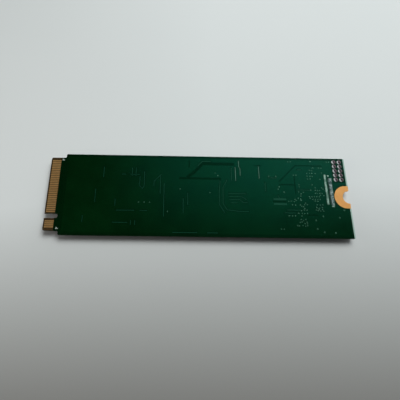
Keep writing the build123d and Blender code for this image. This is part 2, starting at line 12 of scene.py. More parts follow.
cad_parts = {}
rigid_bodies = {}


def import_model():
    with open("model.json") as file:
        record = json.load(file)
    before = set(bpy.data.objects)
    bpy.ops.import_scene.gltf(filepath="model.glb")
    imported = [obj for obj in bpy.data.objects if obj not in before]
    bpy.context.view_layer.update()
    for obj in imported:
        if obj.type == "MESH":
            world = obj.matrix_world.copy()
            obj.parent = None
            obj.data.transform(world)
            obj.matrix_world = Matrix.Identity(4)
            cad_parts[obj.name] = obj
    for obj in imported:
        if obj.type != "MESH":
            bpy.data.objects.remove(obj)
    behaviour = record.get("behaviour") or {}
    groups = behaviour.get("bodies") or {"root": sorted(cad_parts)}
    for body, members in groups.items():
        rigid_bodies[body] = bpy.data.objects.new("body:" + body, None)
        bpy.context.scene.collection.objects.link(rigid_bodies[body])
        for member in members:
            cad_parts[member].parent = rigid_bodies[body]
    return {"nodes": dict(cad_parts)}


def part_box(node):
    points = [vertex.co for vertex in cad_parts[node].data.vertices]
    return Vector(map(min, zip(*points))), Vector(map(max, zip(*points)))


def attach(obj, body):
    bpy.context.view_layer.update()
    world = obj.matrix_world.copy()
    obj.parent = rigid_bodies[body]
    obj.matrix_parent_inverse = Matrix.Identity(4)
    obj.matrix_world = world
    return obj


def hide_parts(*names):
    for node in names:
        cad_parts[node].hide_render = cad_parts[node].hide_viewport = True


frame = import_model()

LOG = logging.getLogger("solid_state_drive")
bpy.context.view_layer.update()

MM = 0.001
CARD_HALF = 11.0  # half of the card's width
TAB_DEPTH = 4.0
TO_CARD = Vector((40.0, 0.0, 0.0))  # card places count from the connector's edge, not the middle
PAST_CARD = (82.0, 12.0)  # beyond the card's far corner, for what cuts up to its edges
CHIP_FACE = 1.20
BARE_FACE = 1.93
FOIL_TOP = 1.965
FOIL_BOTTOM = 1.165
SEAT = 0.01  # how far a piece reaches into the laminate that carries it
FACING = 0.99  # a face looks up or down where its normal's part along z is over this

Point = tuple[float, float]
Colour = tuple[float, float, float]
Place = tuple[float, float, float]
Line = Sequence[Point]
Socket = bpy.types.NodeSocket
Piece = bpy.types.Object


class Slot(Enum):
    """The record's material slots. Each finish names one, which this script does not read."""

    LAMINATE = "laminate"
    GOLD = "gold"
    COPPER = "copper_pad"
    TIN = "tin"
    MOULD = "mould"
    FERRITE = "ferrite"
    CAPACITOR = "capacitor_ceramic"
    RESISTOR = "resistor_ceramic"
    FUSE = "fuse_ceramic"
    BULK = "bulk_mould"
    LID = "lid_metal"
    INK = "print_ink"


class Grainway(Enum):
    """The direction that fine scratches run in, as how narrow their noise is along each axis."""

    NONE = None
    ALONG_CARD = (0.9, 14.0, 6.0)
    ACROSS_CARD = (14.0, 0.9, 6.0)
    EVERY_WAY = (4.0, 4.0, 4.0)


# Finishes


@dataclass(frozen=True)
class Recipe:
    """Adds and joins the nodes of one material, world or node group."""

    tree: bpy.types.NodeTree

    def add(self, kind: str, inputs: dict | None = None, **settings: object) -> bpy.types.Node:
        """Adds one node.

        Args:
            kind: the node's type name.
            inputs: socket names or numbers, with plain values or sockets to join.
            settings: attributes of the node, such as its operation.

        Returns:
            The new node.
        """
        node = self.tree.nodes.new(kind)
        for name, value in settings.items():
            setattr(node, name, value)
        for name, value in (inputs or {}).items():
            if isinstance(value, Socket):
                self.tree.links.new(value, node.inputs[name])
            else:
                node.inputs[name].default_value = value
        return node

    def maths(self, operation: str, a: object, b: object = 0.0, clamp: bool = False) -> Socket:
        """Joins two values or sockets in one sum, held from 0 to 1 where clamp is set."""
        return self.add("ShaderNodeMath", {0: a, 1: b}, operation=operation, use_clamp=clamp).outputs[0]

    def spread(self, value: object, low: float, high: float,
               to_low: float = 0.0, to_high: float = 1.0) -> Socket:
        """Stretches the range from low to high onto the range from to_low to to_high, held at its ends."""
        inputs = {"Value": value, "From Min": low, "From Max": high, "To Min": to_low, "To Max": to_high}
        return self.add("ShaderNodeMapRange", inputs).outputs[0]

    def shared(self, share: float, a: Socket, b: Socket) -> Socket:
        """One mask with its share, and another with what is left of 1."""
        return self.maths("ADD", self.maths("MULTIPLY", a, share), self.maths("MULTIPLY", b, 1.0 - share))

    def blend(self, factor: object, a: object, b: object) -> Socket:
        """Mixes two colours.

        Args:
            factor: a value or socket, 0 for the first colour.
            a: the first colour or socket.
            b: the second colour or socket.

        Returns:
            The mixed colour's socket.
        """
        inputs = {0: factor}
        for place, colour in ((6, a), (7, b)):
            inputs[place] = colour if isinstance(colour, Socket) else (*colour, 1.0)
        return self.add("ShaderNodeMix", inputs, data_type="RGBA").outputs[2]

    def millimetres(self) -> Socket:
        """The piece's own place in millimetres, from the frame's origin."""
        place = self.add("ShaderNodeTexCoord").outputs["Object"]
        return self.add("ShaderNodeVectorMath", {0: place, 3: 1.0 / MM}, operation="SCALE").outputs[0]

    def stretched(self, vector: Socket, factors: Place) -> Socket:
        """The same place with each axis multiplied by its factor."""
        return self.add("ShaderNodeVectorMath", {0: vector, 1: factors}, operation="MULTIPLY").outputs[0]

    def parts(self, vector: Socket) -> tuple[Socket, Socket, Socket]:
        """Splits a place or direction into its three numbers."""
        node = self.add("ShaderNodeSeparateXYZ", {0: vector})
        return node.outputs[0], node.outputs[1], node.outputs[2]


class Effects:
    """Shader node groups that several materials share, each built once."""

    built: dict[str, bpy.types.NodeTree] = {}

    @classmethod
    def use(cls, recipe: Recipe, name: str, inputs: dict[str, object], outputs: Sequence[str],
            fill: Callable[[Recipe, dict[str, Socket]], dict[str, Socket]]) -> bpy.types.Node:
        """Puts a group into a material with its own values, and builds it on its first use.

        Args:
            recipe: the material's recipe.
            name: the group's name.
            inputs: the value of each input: a place's socket, or a plain number.
            outputs: the names of the masks that come out.
            fill: adds the inner nodes and returns the sockets that go out.

        Returns:
            The group's node in the material.
        """
        if name not in cls.built:
            tree = bpy.data.node_groups.new(name, "ShaderNodeTree")
            for label, value in inputs.items():
                kind = "NodeSocketVector" if isinstance(value, Socket) else "NodeSocketFloat"
                tree.interface.new_socket(label, in_out="INPUT", socket_type=kind)
            for label in outputs:
                tree.interface.new_socket(label, in_out="OUTPUT", socket_type="NodeSocketFloat")
            inner = Recipe(tree)
            entry = inner.add("NodeGroupInput")
            results = fill(inner, {label: entry.outputs[label] for label in inputs})
            inner.add("NodeGroupOutput", results)
            cls.built[name] = tree
        return recipe.add("ShaderNodeGroup", inputs, node_tree=cls.built[name])

    @staticmethod
    def noise(recipe: Recipe, vector: Socket, scale: object, detail: float,
              roughness: float = 0.5) -> Socket:
        """A noise over the surface."""
        return recipe.add("ShaderNodeTexNoise", {
            "Vector": vector, "Scale": scale, "Detail": detail, "Roughness": roughness}).outputs[0]

    @classmethod
    def grain(cls, recipe: Recipe, vector: Socket, cloud: float, fine: float) -> tuple[Socket, Socket]:
        """Soft clouds and fine grain over the surface.

        Args:
            recipe: the material's recipe.
            vector: the place in millimetres.
            cloud: how many clouds to a millimetre.
            fine: how many grains to a millimetre.

        Returns:
            The cloud mask and the grain mask.
        """

        def fill(inner: Recipe, given: dict[str, Socket]) -> dict[str, Socket]:
            """Two noises of different size.

            Args:
                inner: the group's recipe.
                given: the group's inputs.

            Returns:
                The group's masks.
            """
            wide = cls.noise(inner, given["Place"], given["Cloud Scale"], 3.0, 0.55)
            tight = cls.noise(inner, given["Place"], given["Grain Scale"], 2.0, 0.7)
            return {"Cloud": inner.spread(wide, 0.32, 0.68), "Grain": inner.spread(tight, 0.25, 0.75)}

        inputs = {"Place": vector, "Cloud Scale": cloud, "Grain Scale": fine}
        node = cls.use(recipe, "clouds_and_grain", inputs, ("Cloud", "Grain"), fill)
        return node.outputs["Cloud"], node.outputs["Grain"]

    @classmethod
    def scratches(cls, recipe: Recipe, vector: Socket, way: Grainway, amount: float) -> Socket:
        """Fine rubbed scratches in one direction.

        Args:
            recipe: the material's recipe.
            vector: the place in millimetres.
            way: the direction that they run in.
            amount: how many there are, from 0 to 1.

        Returns:
            A mask that is 1 in a scratch.
        """

        def fill(inner: Recipe, given: dict[str, Socket]) -> dict[str, Socket]:
            """A long narrow noise, cut off so that only its crests show.

            Args:
                inner: the group's recipe.
                given: the group's inputs.

            Returns:
                The group's masks.
            """
            limit = inner.maths("SUBTRACT", 0.72, inner.maths("MULTIPLY", given["Amount"], 0.22))
            over = inner.maths("SUBTRACT", cls.noise(inner, given["Place"], 1.0, 4.0, 0.75), limit)
            return {"Mask": inner.maths("MULTIPLY", over, 9.0, clamp=True)}

        inputs = {"Place": recipe.stretched(vector, way.value), "Amount": amount}
        return cls.use(recipe, "rubbed_scratches", inputs, ("Mask",), fill).outputs["Mask"]

    @classmethod
    def weave(cls, recipe: Recipe, vector: Socket, pitch: float) -> Socket:
        """The plain weave of glass cloth, as it shows through resin.

        Args:
            recipe: the material's recipe.
            vector: the place in millimetres.
            pitch: the width of one thread in millimetres.

        Returns:
            A mask that is 1 on the crown of a thread.
        """

        def fill(inner: Recipe, given: dict[str, Socket]) -> dict[str, Socket]:
            """Two sine waves at right angles, multiplied.

            Args:
                inner: the group's recipe.
                given: the group's inputs.

            Returns:
                The group's masks.
            """
            x, y, _ = inner.parts(given["Place"])
            turn = inner.maths("DIVIDE", math.pi, given["Pitch"])
            warp, weft = (inner.maths("SINE", inner.maths("MULTIPLY", way, turn)) for way in (x, y))
            return {"Mask": inner.spread(inner.maths("MULTIPLY", warp, weft), -1.0, 1.0)}

        inputs = {"Place": vector, "Pitch": pitch}
        return cls.use(recipe, "glass_weave", inputs, ("Mask",), fill).outputs["Mask"]


@dataclass(frozen=True)
class Surface:
    """What every finish starts from, in the nodes of its material."""

    recipe: Recipe
    vector: Socket  # the place in millimetres
    cloud: Socket
    grain: Socket


@dataclass(frozen=True)
class Finish:
    """A surface with clouds of tone, fine grain and, where wanted, rubbed scratches."""

    name: str
    slot: Slot
    tone: Colour
    other_tone: Colour
    metallic: float = 0.0
    rough: Point = (0.35, 0.5)
    specular: float = 0.5
    gleam: Colour = (1.0, 1.0, 1.0)  # tint of the reflections seen straight on
    grain: Place = (0.6, 14.0, 0.004)  # clouds and grains to a millimetre, and the grain's depth
    scratch: Grainway = Grainway.NONE
    scratch_amount: float = 0.4
    scratch_tone: Colour = (0.8, 0.8, 0.8)

    def tones(self, on: Surface) -> Socket:
        """The surface's colour before any scratches."""
        return on.recipe.blend(on.recipe.shared(0.65, on.cloud, on.grain), self.tone, self.other_tone)

    def roughness(self, on: Surface, rough: Socket) -> Socket:
        """The roughness of each place, from that of the plain surface."""
        return rough

    def height(self, on: Surface) -> Socket:
        """The height that gives the surface its relief."""
        return on.grain

    def shader_out(self, recipe: Recipe, shader: Socket) -> Socket:
        """What goes to the material's output: the plain shader, unless a finish mixes it."""
        return shader

    def material(self) -> bpy.types.Material:
        """Builds the material on its first use.

        Returns:
            The material.
        """
        known = bpy.data.materials.get(self.name)
        if known is not None:
            return known
        material = bpy.data.materials.new(self.name)
        material.use_nodes = True
        material.node_tree.nodes.clear()
        recipe = Recipe(material.node_tree)
        vector = recipe.millimetres()
        cloud_scale, grain_scale, relief = self.grain
        cloud, grain = Effects.grain(recipe, vector, cloud_scale, grain_scale)
        on = Surface(recipe, vector, cloud, grain)
        colour = self.tones(on)
        rough = recipe.spread(recipe.maths("ADD", cloud, grain), 0.0, 2.0, *self.rough)
        if self.scratch is not Grainway.NONE:
            mark = Effects.scratches(recipe, vector, self.scratch, self.scratch_amount)
            colour = recipe.blend(recipe.maths("MULTIPLY", mark, 0.7), colour, self.scratch_tone)
            rough = recipe.maths("SUBTRACT", rough, recipe.maths("MULTIPLY", mark, 0.12), clamp=True)
        bump = recipe.add("ShaderNodeBump", {
            "Height": self.height(on), "Distance": relief * MM, "Strength": 0.8})
        shader = recipe.add("ShaderNodeBsdfPrincipled", {
            "Base Color": colour, "Roughness": self.roughness(on, rough), "Normal": bump.outputs[0],
            "Specular IOR Level": self.specular, "Specular Tint": (*self.gleam, 1.0),
            "Metallic": self.metallic})
        recipe.add("ShaderNodeOutputMaterial", {"Surface": self.shader_out(recipe, shader.outputs[0])})
        material.diffuse_color = (*self.tone, 1.0)
        return material

    @staticmethod
    def upright(recipe: Recipe) -> Socket:
        """A mask that is 1 on upright faces, such as the card's cut edges."""
        _, _, up = recipe.parts(recipe.add("ShaderNodeNewGeometry").outputs["Normal"])
        return recipe.maths("LESS_THAN", recipe.maths("ABSOLUTE", up), 0.5)


@dataclass(frozen=True)
class BoardFinish(Finish):
    """Solder mask over bare laminate on both faces, and the cut glass cloth on the edges."""

    tab_tone: Colour = (0.030, 0.017, 0.007)
    edge_tone: Colour = (0.046, 0.058, 0.024)
    edge_line: Colour = (0.012, 0.016, 0.006)
    edge_rough: float = 0.95
    mask_start: float = -37.27  # where the mask ends, toward the contacts
    rim: Point = (39.62, 39.74)  # between these, next to the routed end, a pale strip is painted as a highlight where the cut edge catches the light
    edge_highlight_tone: Colour = (0.30, 0.42, 0.37)
    layers: int = 7
    thread: float = 0.42  # width of one thread of the cloth

    def tones(self, on: Surface) -> Socket:
        """Mask, bare tab, the painted highlight by the routed end, and cut edge, each in its place.

        Args:
            on: the surface.

        Returns:
            The colour's socket.
        """
        recipe = on.recipe
        x, _, z = recipe.parts(on.vector)
        weave = Effects.weave(recipe, on.vector, self.thread)
        mask = recipe.blend(recipe.shared(0.45, weave, on.cloud), self.tone, self.other_tone)
        bare = recipe.blend(weave, self.tab_tone, tuple(1.7 * c for c in self.tab_tone))
        flat = recipe.blend(recipe.maths("GREATER_THAN", x, self.mask_start), bare, mask)
        # painted highlight: a pale strip along the routed end
        flat = recipe.blend(recipe.spread(x, *self.rim), flat, self.edge_highlight_tone)
        step = (BARE_FACE - CHIP_FACE) / self.layers
        wave = recipe.maths("SINE", recipe.maths("MULTIPLY", z, 2.0 * math.pi / step))
        layer = recipe.maths("ADD", recipe.maths("MULTIPLY", wave, 0.35), on.grain)
        edge = recipe.blend(recipe.spread(layer, -0.2, 1.2), self.edge_line, self.edge_tone)
        return recipe.blend(self.upright(recipe), flat, edge)

    def roughness(self, on: Surface, rough: Socket) -> Socket:
        """The routed edges are rough; the mask keeps its gloss."""
        edge = on.recipe.maths("MULTIPLY", self.upright(on.recipe), self.edge_rough)
        return on.recipe.maths("MAXIMUM", rough, edge)

    def height(self, on: Surface) -> Socket:
        """Glass cloth that shows through, with a little grain."""
        return on.recipe.shared(0.7, Effects.weave(on.recipe, on.vector, self.thread), on.grain)


@dataclass(frozen=True)
class GridPackageFinish(Finish):
    """Black moulding over a thin substrate, whose green resin shows round the sides."""

    substrate_tone: Colour = (0.020, 0.055, 0.022)
    substrate_level: float = 0.80  # above this, toward the card, the package is substrate

    def tones(self, on: Surface) -> Socket:
        """The moulding's own tones, with the substrate next to the card."""
        above = on.recipe.maths("GREATER_THAN", on.recipe.parts(on.vector)[2], self.substrate_level)
        return on.recipe.blend(above, super().tones(on), self.substrate_tone)


@dataclass(frozen=True)
class PlatedHoleFinish(Finish):
    """Tinned rings with a painted highlight on one side of each hole and painted shade on the other, round
    a bore painted dark as shade.
    """

    # painted shade: the bore's walls are painted near black
    bore_shade_tone: Colour = (0.012, 0.008, 0.010)
    # painted shade on the side of each ring away from its painted highlight
    shaded_side_tone: Colour = (0.125, 0.085, 0.100)
    lit_side: Point = (-0.94, -0.34)  # the side of each ring that gets the painted highlight
    highlight_band: Point = (0.12, 0.26)  # the painted highlight comes in between these distances from a hole's middle
    first_hole: Point = (37.08, 4.87)
    pitch: Point = (1.50, 1.27)

    def tones(self, on: Surface) -> Socket:
        """The ring's painted highlight, the painted shade on its other side, and the bore painted dark as
        shade.

        Args:
            on: the surface.

        Returns:
            The colour's socket.
        """
        recipe = on.recipe
        side = 0.0
        places = recipe.parts(on.vector)
        for place, first, step, way in zip(places, self.first_hole, self.pitch, self.lit_side):
            # half a step and twenty whole ones keep what is divided above zero
            offset = recipe.maths("SUBTRACT", recipe.maths("MODULO", recipe.maths(
                "ADD", recipe.maths("SUBTRACT", place, first), 20.5 * step), step), step / 2)
            side = recipe.maths("ADD", recipe.maths("MULTIPLY", offset, way), side)
        # painted highlight on one side of each ring, painted shade on the other
        tin = recipe.blend(recipe.spread(side, *self.highlight_band), self.shaded_side_tone, super().tones(on))
        # the bore's walls painted dark as shade
        return recipe.blend(self.upright(recipe), tin, self.bore_shade_tone)


@dataclass(frozen=True)
class ChipResistorFinish(Finish):
    """A black coat over the film, on a body of white ceramic."""

    ceramic_tone: Colour = (0.60, 0.59, 0.55)

    def tones(self, on: Surface) -> Socket:
        """The coat on the flat face, and the bare ceramic on the sides."""
        return on.recipe.blend(self.upright(on.recipe), super().tones(on), self.ceramic_tone)


@dataclass(frozen=True)
class WornInkFinish(Finish):
    """Thin ink that has rubbed away in patches, down to the dark mask."""

    patch: Point = (0.40, 0.60)  # mixed cloud and grain between which the ink comes and goes

    def tones(self, on: Surface) -> Socket:
        """The ink, with its worn patches."""
        mixed = on.recipe.shared(0.6, on.cloud, on.grain)
        return on.recipe.blend(on.recipe.spread(mixed, *self.patch), self.other_tone, self.tone)


@dataclass(frozen=True)
class CopperUnderMask(Finish):
    """Solder mask over copper: green lacquer that lets the metal's gleam through."""

    def height(self, on: Surface) -> Socket:
        """The slow waves of a lacquer that was rolled on, with a little grain."""
        return on.recipe.shared(0.9, Effects.noise(on.recipe, on.vector, 0.55, 1.0), on.grain)


@dataclass(frozen=True)
class BenchFinish(Finish):
    """The pale surface under the drive: matte, with hardly visible clouds and painted shade toward its near
    edge and its left, and open from below.
    """

    open_half: Point = (39.0, 10.2)  # under the card, light from below passes up to the chips
    mirror_inset: float = 0.5  # but the card's cut edges mirror the bench, not that light
    # painted shade: the tone that the bench darkens to toward its near edge and its left
    painted_shade_tone: Colour = (0.150, 0.142, 0.130)
    near: Point = (-58.0, 5.0)  # between these places toward the viewer, painted shade darkens the bench
    pale_again: Point = (-150.0, -72.0)  # nearer still, out of the picture, the painted shade fades and it is pale again
    left: Point = (-75.0, 5.0)  # and painted shade makes it a little darker to the left
    left_shade_share: float = 0.20

    def tones(self, on: Surface) -> Socket:
        """The bench's own tones, with painted shade by place toward its near edge and its left.

        Args:
            on: the surface.

        Returns:
            The colour's socket.
        """
        recipe = on.recipe
        x, y, _ = recipe.parts(on.vector)
        # painted shade toward the near edge, and a little toward the left
        painted_shade = recipe.maths("MULTIPLY", recipe.spread(y, *self.near, 1.0, 0.0),
                           recipe.spread(y, *self.pale_again))
        left = recipe.spread(x, *self.left, self.left_shade_share, 0.0)
        return recipe.blend(recipe.maths("MAXIMUM", painted_shade, left), super().tones(on), self.painted_shade_tone)

    def shader_out(self, recipe: Recipe, shader: Socket) -> Socket:
        """The sheet seen from above, nothing seen from below, and light let up to the chips.

        Args:
            recipe: the material's recipe.
            shader: the plain shader.

        Returns:
            The mixed shader's socket.
        """
        below = recipe.add("ShaderNodeNewGeometry").outputs["Backfacing"]
        path = recipe.add("ShaderNodeLightPath")
        first = recipe.maths("LESS_THAN", path.outputs["Ray Depth"], 1.5)
        under = recipe.maths("SUBTRACT", first, path.outputs["Is Camera Ray"])
        insets = (recipe.maths("MULTIPLY", path.outputs["Is Glossy Ray"], self.mirror_inset), 0.0)
        for place, half, inset in zip(recipe.parts(recipe.millimetres()), self.open_half, insets):
            reach = recipe.maths("ADD", recipe.maths("ABSOLUTE", place), inset)
            under = recipe.maths("MULTIPLY", under, recipe.maths("LESS_THAN", reach, half))
        clear = recipe.add("ShaderNodeBsdfTransparent").outputs[0]
        factor = recipe.maths("MAXIMUM", below, under)
        return recipe.add("ShaderNodeMixShader", {0: factor, 1: shader, 2: clear}).outputs[0]


BOARD = BoardFinish(
    "board_laminate", Slot.LAMINATE, tone=(0.0003, 0.0050, 0.0006), other_tone=(0.0005, 0.0085, 0.0012),
    specular=0.28, gleam=(0.05, 1.0, 0.66), rough=(0.22, 0.32), grain=(0.18, 9.0, 0.006))
POUR = CopperUnderMask(
    "mask_over_copper", Slot.LAMINATE, tone=(0.0004, 0.0066, 0.0006), other_tone=(0.0008, 0.0135, 0.0018),
    specular=0.52, gleam=(0.05, 1.0, 0.66), rough=(0.16, 0.24), grain=(0.16, 8.0, 0.004))
TRACE = CopperUnderMask(
    "mask_over_traces", Slot.LAMINATE, tone=(0.0045, 0.0340, 0.0170), other_tone=(0.0070, 0.0500, 0.0260),
    metallic=0.30, specular=0.70, gleam=(0.25, 1.0, 0.76), rough=(0.26, 0.38), grain=(0.5, 10.0, 0.003))
# painted glints: traces under mask painted brighter where they catch the light
GLINT_TRACE = CopperUnderMask(
    "painted_glint_traces", Slot.LAMINATE, tone=(0.035, 0.105, 0.070), other_tone=(0.085, 0.190, 0.140),
    metallic=0.45, rough=(0.28, 0.40), grain=(0.7, 8.0, 0.003))
VIA = CopperUnderMask(
    "mask_over_vias", Slot.LAMINATE, tone=(0.06, 0.17, 0.11), other_tone=(0.15, 0.31, 0.23),
    metallic=0.60, rough=(0.30, 0.42), grain=(1.3, 14.0, 0.003))
GOLD = Finish(
    "contact_gold", Slot.GOLD, tone=(0.74, 0.450, 0.175), other_tone=(0.61, 0.335, 0.120),
    metallic=0.75, rough=(0.38, 0.54), grain=(1.1, 22.0, 0.0012),
    scratch=Grainway.ALONG_CARD, scratch_amount=0.55, scratch_tone=(0.66, 0.48, 0.22))
COPPER = Finish(
    "plated_copper", Slot.COPPER, tone=(1.0, 0.505, 0.165), other_tone=(0.90, 0.420, 0.125),
    metallic=0.65, rough=(0.36, 0.50), grain=(0.7, 16.0, 0.0025),
    scratch=Grainway.EVERY_WAY, scratch_amount=0.25, scratch_tone=(0.86, 0.50, 0.20))
SOLDER = Finish(
    "tin_solder", Slot.TIN, tone=(0.72, 0.72, 0.70), other_tone=(0.56, 0.56, 0.55),
    metallic=1.0, rough=(0.18, 0.34), grain=(2.2, 18.0, 0.003))
HEADER_TIN = PlatedHoleFinish(
    "header_tin", Slot.TIN, tone=(0.86, 0.88, 0.88), other_tone=(0.74, 0.76, 0.77),
    metallic=0.55, rough=(0.24, 0.36), grain=(2.0, 18.0, 0.003))
TERMINAL = Finish(
    "tinned_terminals", Slot.TIN, tone=(0.66, 0.65, 0.62), other_tone=(0.50, 0.49, 0.47),
    metallic=1.0, rough=(0.30, 0.50), grain=(3.0, 26.0, 0.004))
LID = Finish(
    "plated_lid", Slot.LID, tone=(0.62, 0.58, 0.48), other_tone=(0.52, 0.48, 0.39),
    metallic=1.0, rough=(0.22, 0.36), grain=(1.5, 20.0, 0.0015),
    scratch=Grainway.ACROSS_CARD, scratch_amount=0.45, scratch_tone=(0.74, 0.71, 0.62))
MOULD = Finish(
    "moulding_compound", Slot.MOULD, tone=(0.017, 0.017, 0.019), other_tone=(0.030, 0.030, 0.032),
    rough=(0.48, 0.66), grain=(0.35, 17.0, 0.008), specular=0.35)
GRID_PACKAGE = GridPackageFinish(
    "grid_package", Slot.MOULD, tone=(0.015, 0.015, 0.017), other_tone=(0.026, 0.026, 0.028),
    rough=(0.46, 0.62), grain=(0.25, 15.0, 0.007), specular=0.35)
CONTROLLER = GridPackageFinish(
    "controller_package", Slot.MOULD, tone=(0.020, 0.020, 0.022), other_tone=(0.034, 0.034, 0.036),
    rough=(0.40, 0.55), grain=(0.3, 12.0, 0.006), specular=0.4,
    substrate_tone=(0.030, 0.085, 0.030), substrate_level=0.672)
FERRITE = Finish(
    "pressed_ferrite", Slot.FERRITE, tone=(0.085, 0.085, 0.092), other_tone=(0.155, 0.155, 0.160),
    rough=(0.50, 0.72), grain=(2.5, 9.0, 0.012), specular=0.4)
CRYSTAL_TRAY = Finish(
    "crystal_tray", Slot.FERRITE, tone=(0.060, 0.055, 0.050), other_tone=(0.095, 0.085, 0.075),
    rough=(0.45, 0.60), grain=(1.5, 14.0, 0.005))
CAPACITOR = Finish(
    "fired_capacitor", Slot.CAPACITOR, tone=(0.27, 0.165, 0.085), other_tone=(0.36, 0.235, 0.130),
    rough=(0.34, 0.50), grain=(1.6, 20.0, 0.004))
RESISTOR = ChipResistorFinish(
    "resistor_coat", Slot.RESISTOR, tone=(0.014, 0.014, 0.016), other_tone=(0.032, 0.032, 0.036),
    rough=(0.22, 0.38), grain=(2.0, 18.0, 0.003))
FUSE = Finish(
    "fuse_ceramic", Slot.FUSE, tone=(0.62, 0.60, 0.53), other_tone=(0.74, 0.73, 0.67),
    rough=(0.32, 0.48), grain=(1.4, 18.0, 0.004))
BULK_CASE = Finish(
    "bulk_case", Slot.BULK, tone=(0.040, 0.034, 0.026), other_tone=(0.062, 0.054, 0.043),
    rough=(0.42, 0.60), grain=(0.9, 15.0, 0.007))
INK = Finish(
    "print_ink", Slot.INK, tone=(0.44, 0.50, 0.45), other_tone=(0.27, 0.33, 0.29),
    rough=(0.50, 0.68), grain=(1.9, 11.0, 0.006))
THIN_INK = WornInkFinish(
    "thin_print_ink", Slot.INK, tone=(0.24, 0.36, 0.30), other_tone=(0.075, 0.160, 0.120),
    rough=(0.50, 0.70), grain=(0.9, 2.4, 0.006), patch=(0.34, 0.56))
WORN_INK = WornInkFinish(
    "worn_print_ink", Slot.INK, tone=(0.27, 0.35, 0.34), other_tone=(0.030, 0.070, 0.065),
    rough=(0.50, 0.70), grain=(1.3, 2.6, 0.006))
DARK_INK = WornInkFinish(
    "dark_print_ink", Slot.INK, tone=(0.001, 0.004, 0.003), other_tone=(0.030, 0.065, 0.055),
    rough=(0.50, 0.70), grain=(1.4, 2.8, 0.006), patch=(0.30, 0.52))
BENCH = BenchFinish(
    "pale_bench", Slot.LAMINATE, tone=(0.640, 0.668, 0.664), other_tone=(0.655, 0.680, 0.676),
    rough=(0.60, 0.75), grain=(0.02, 1.5, 0.004), specular=0.3)


# Hand tools


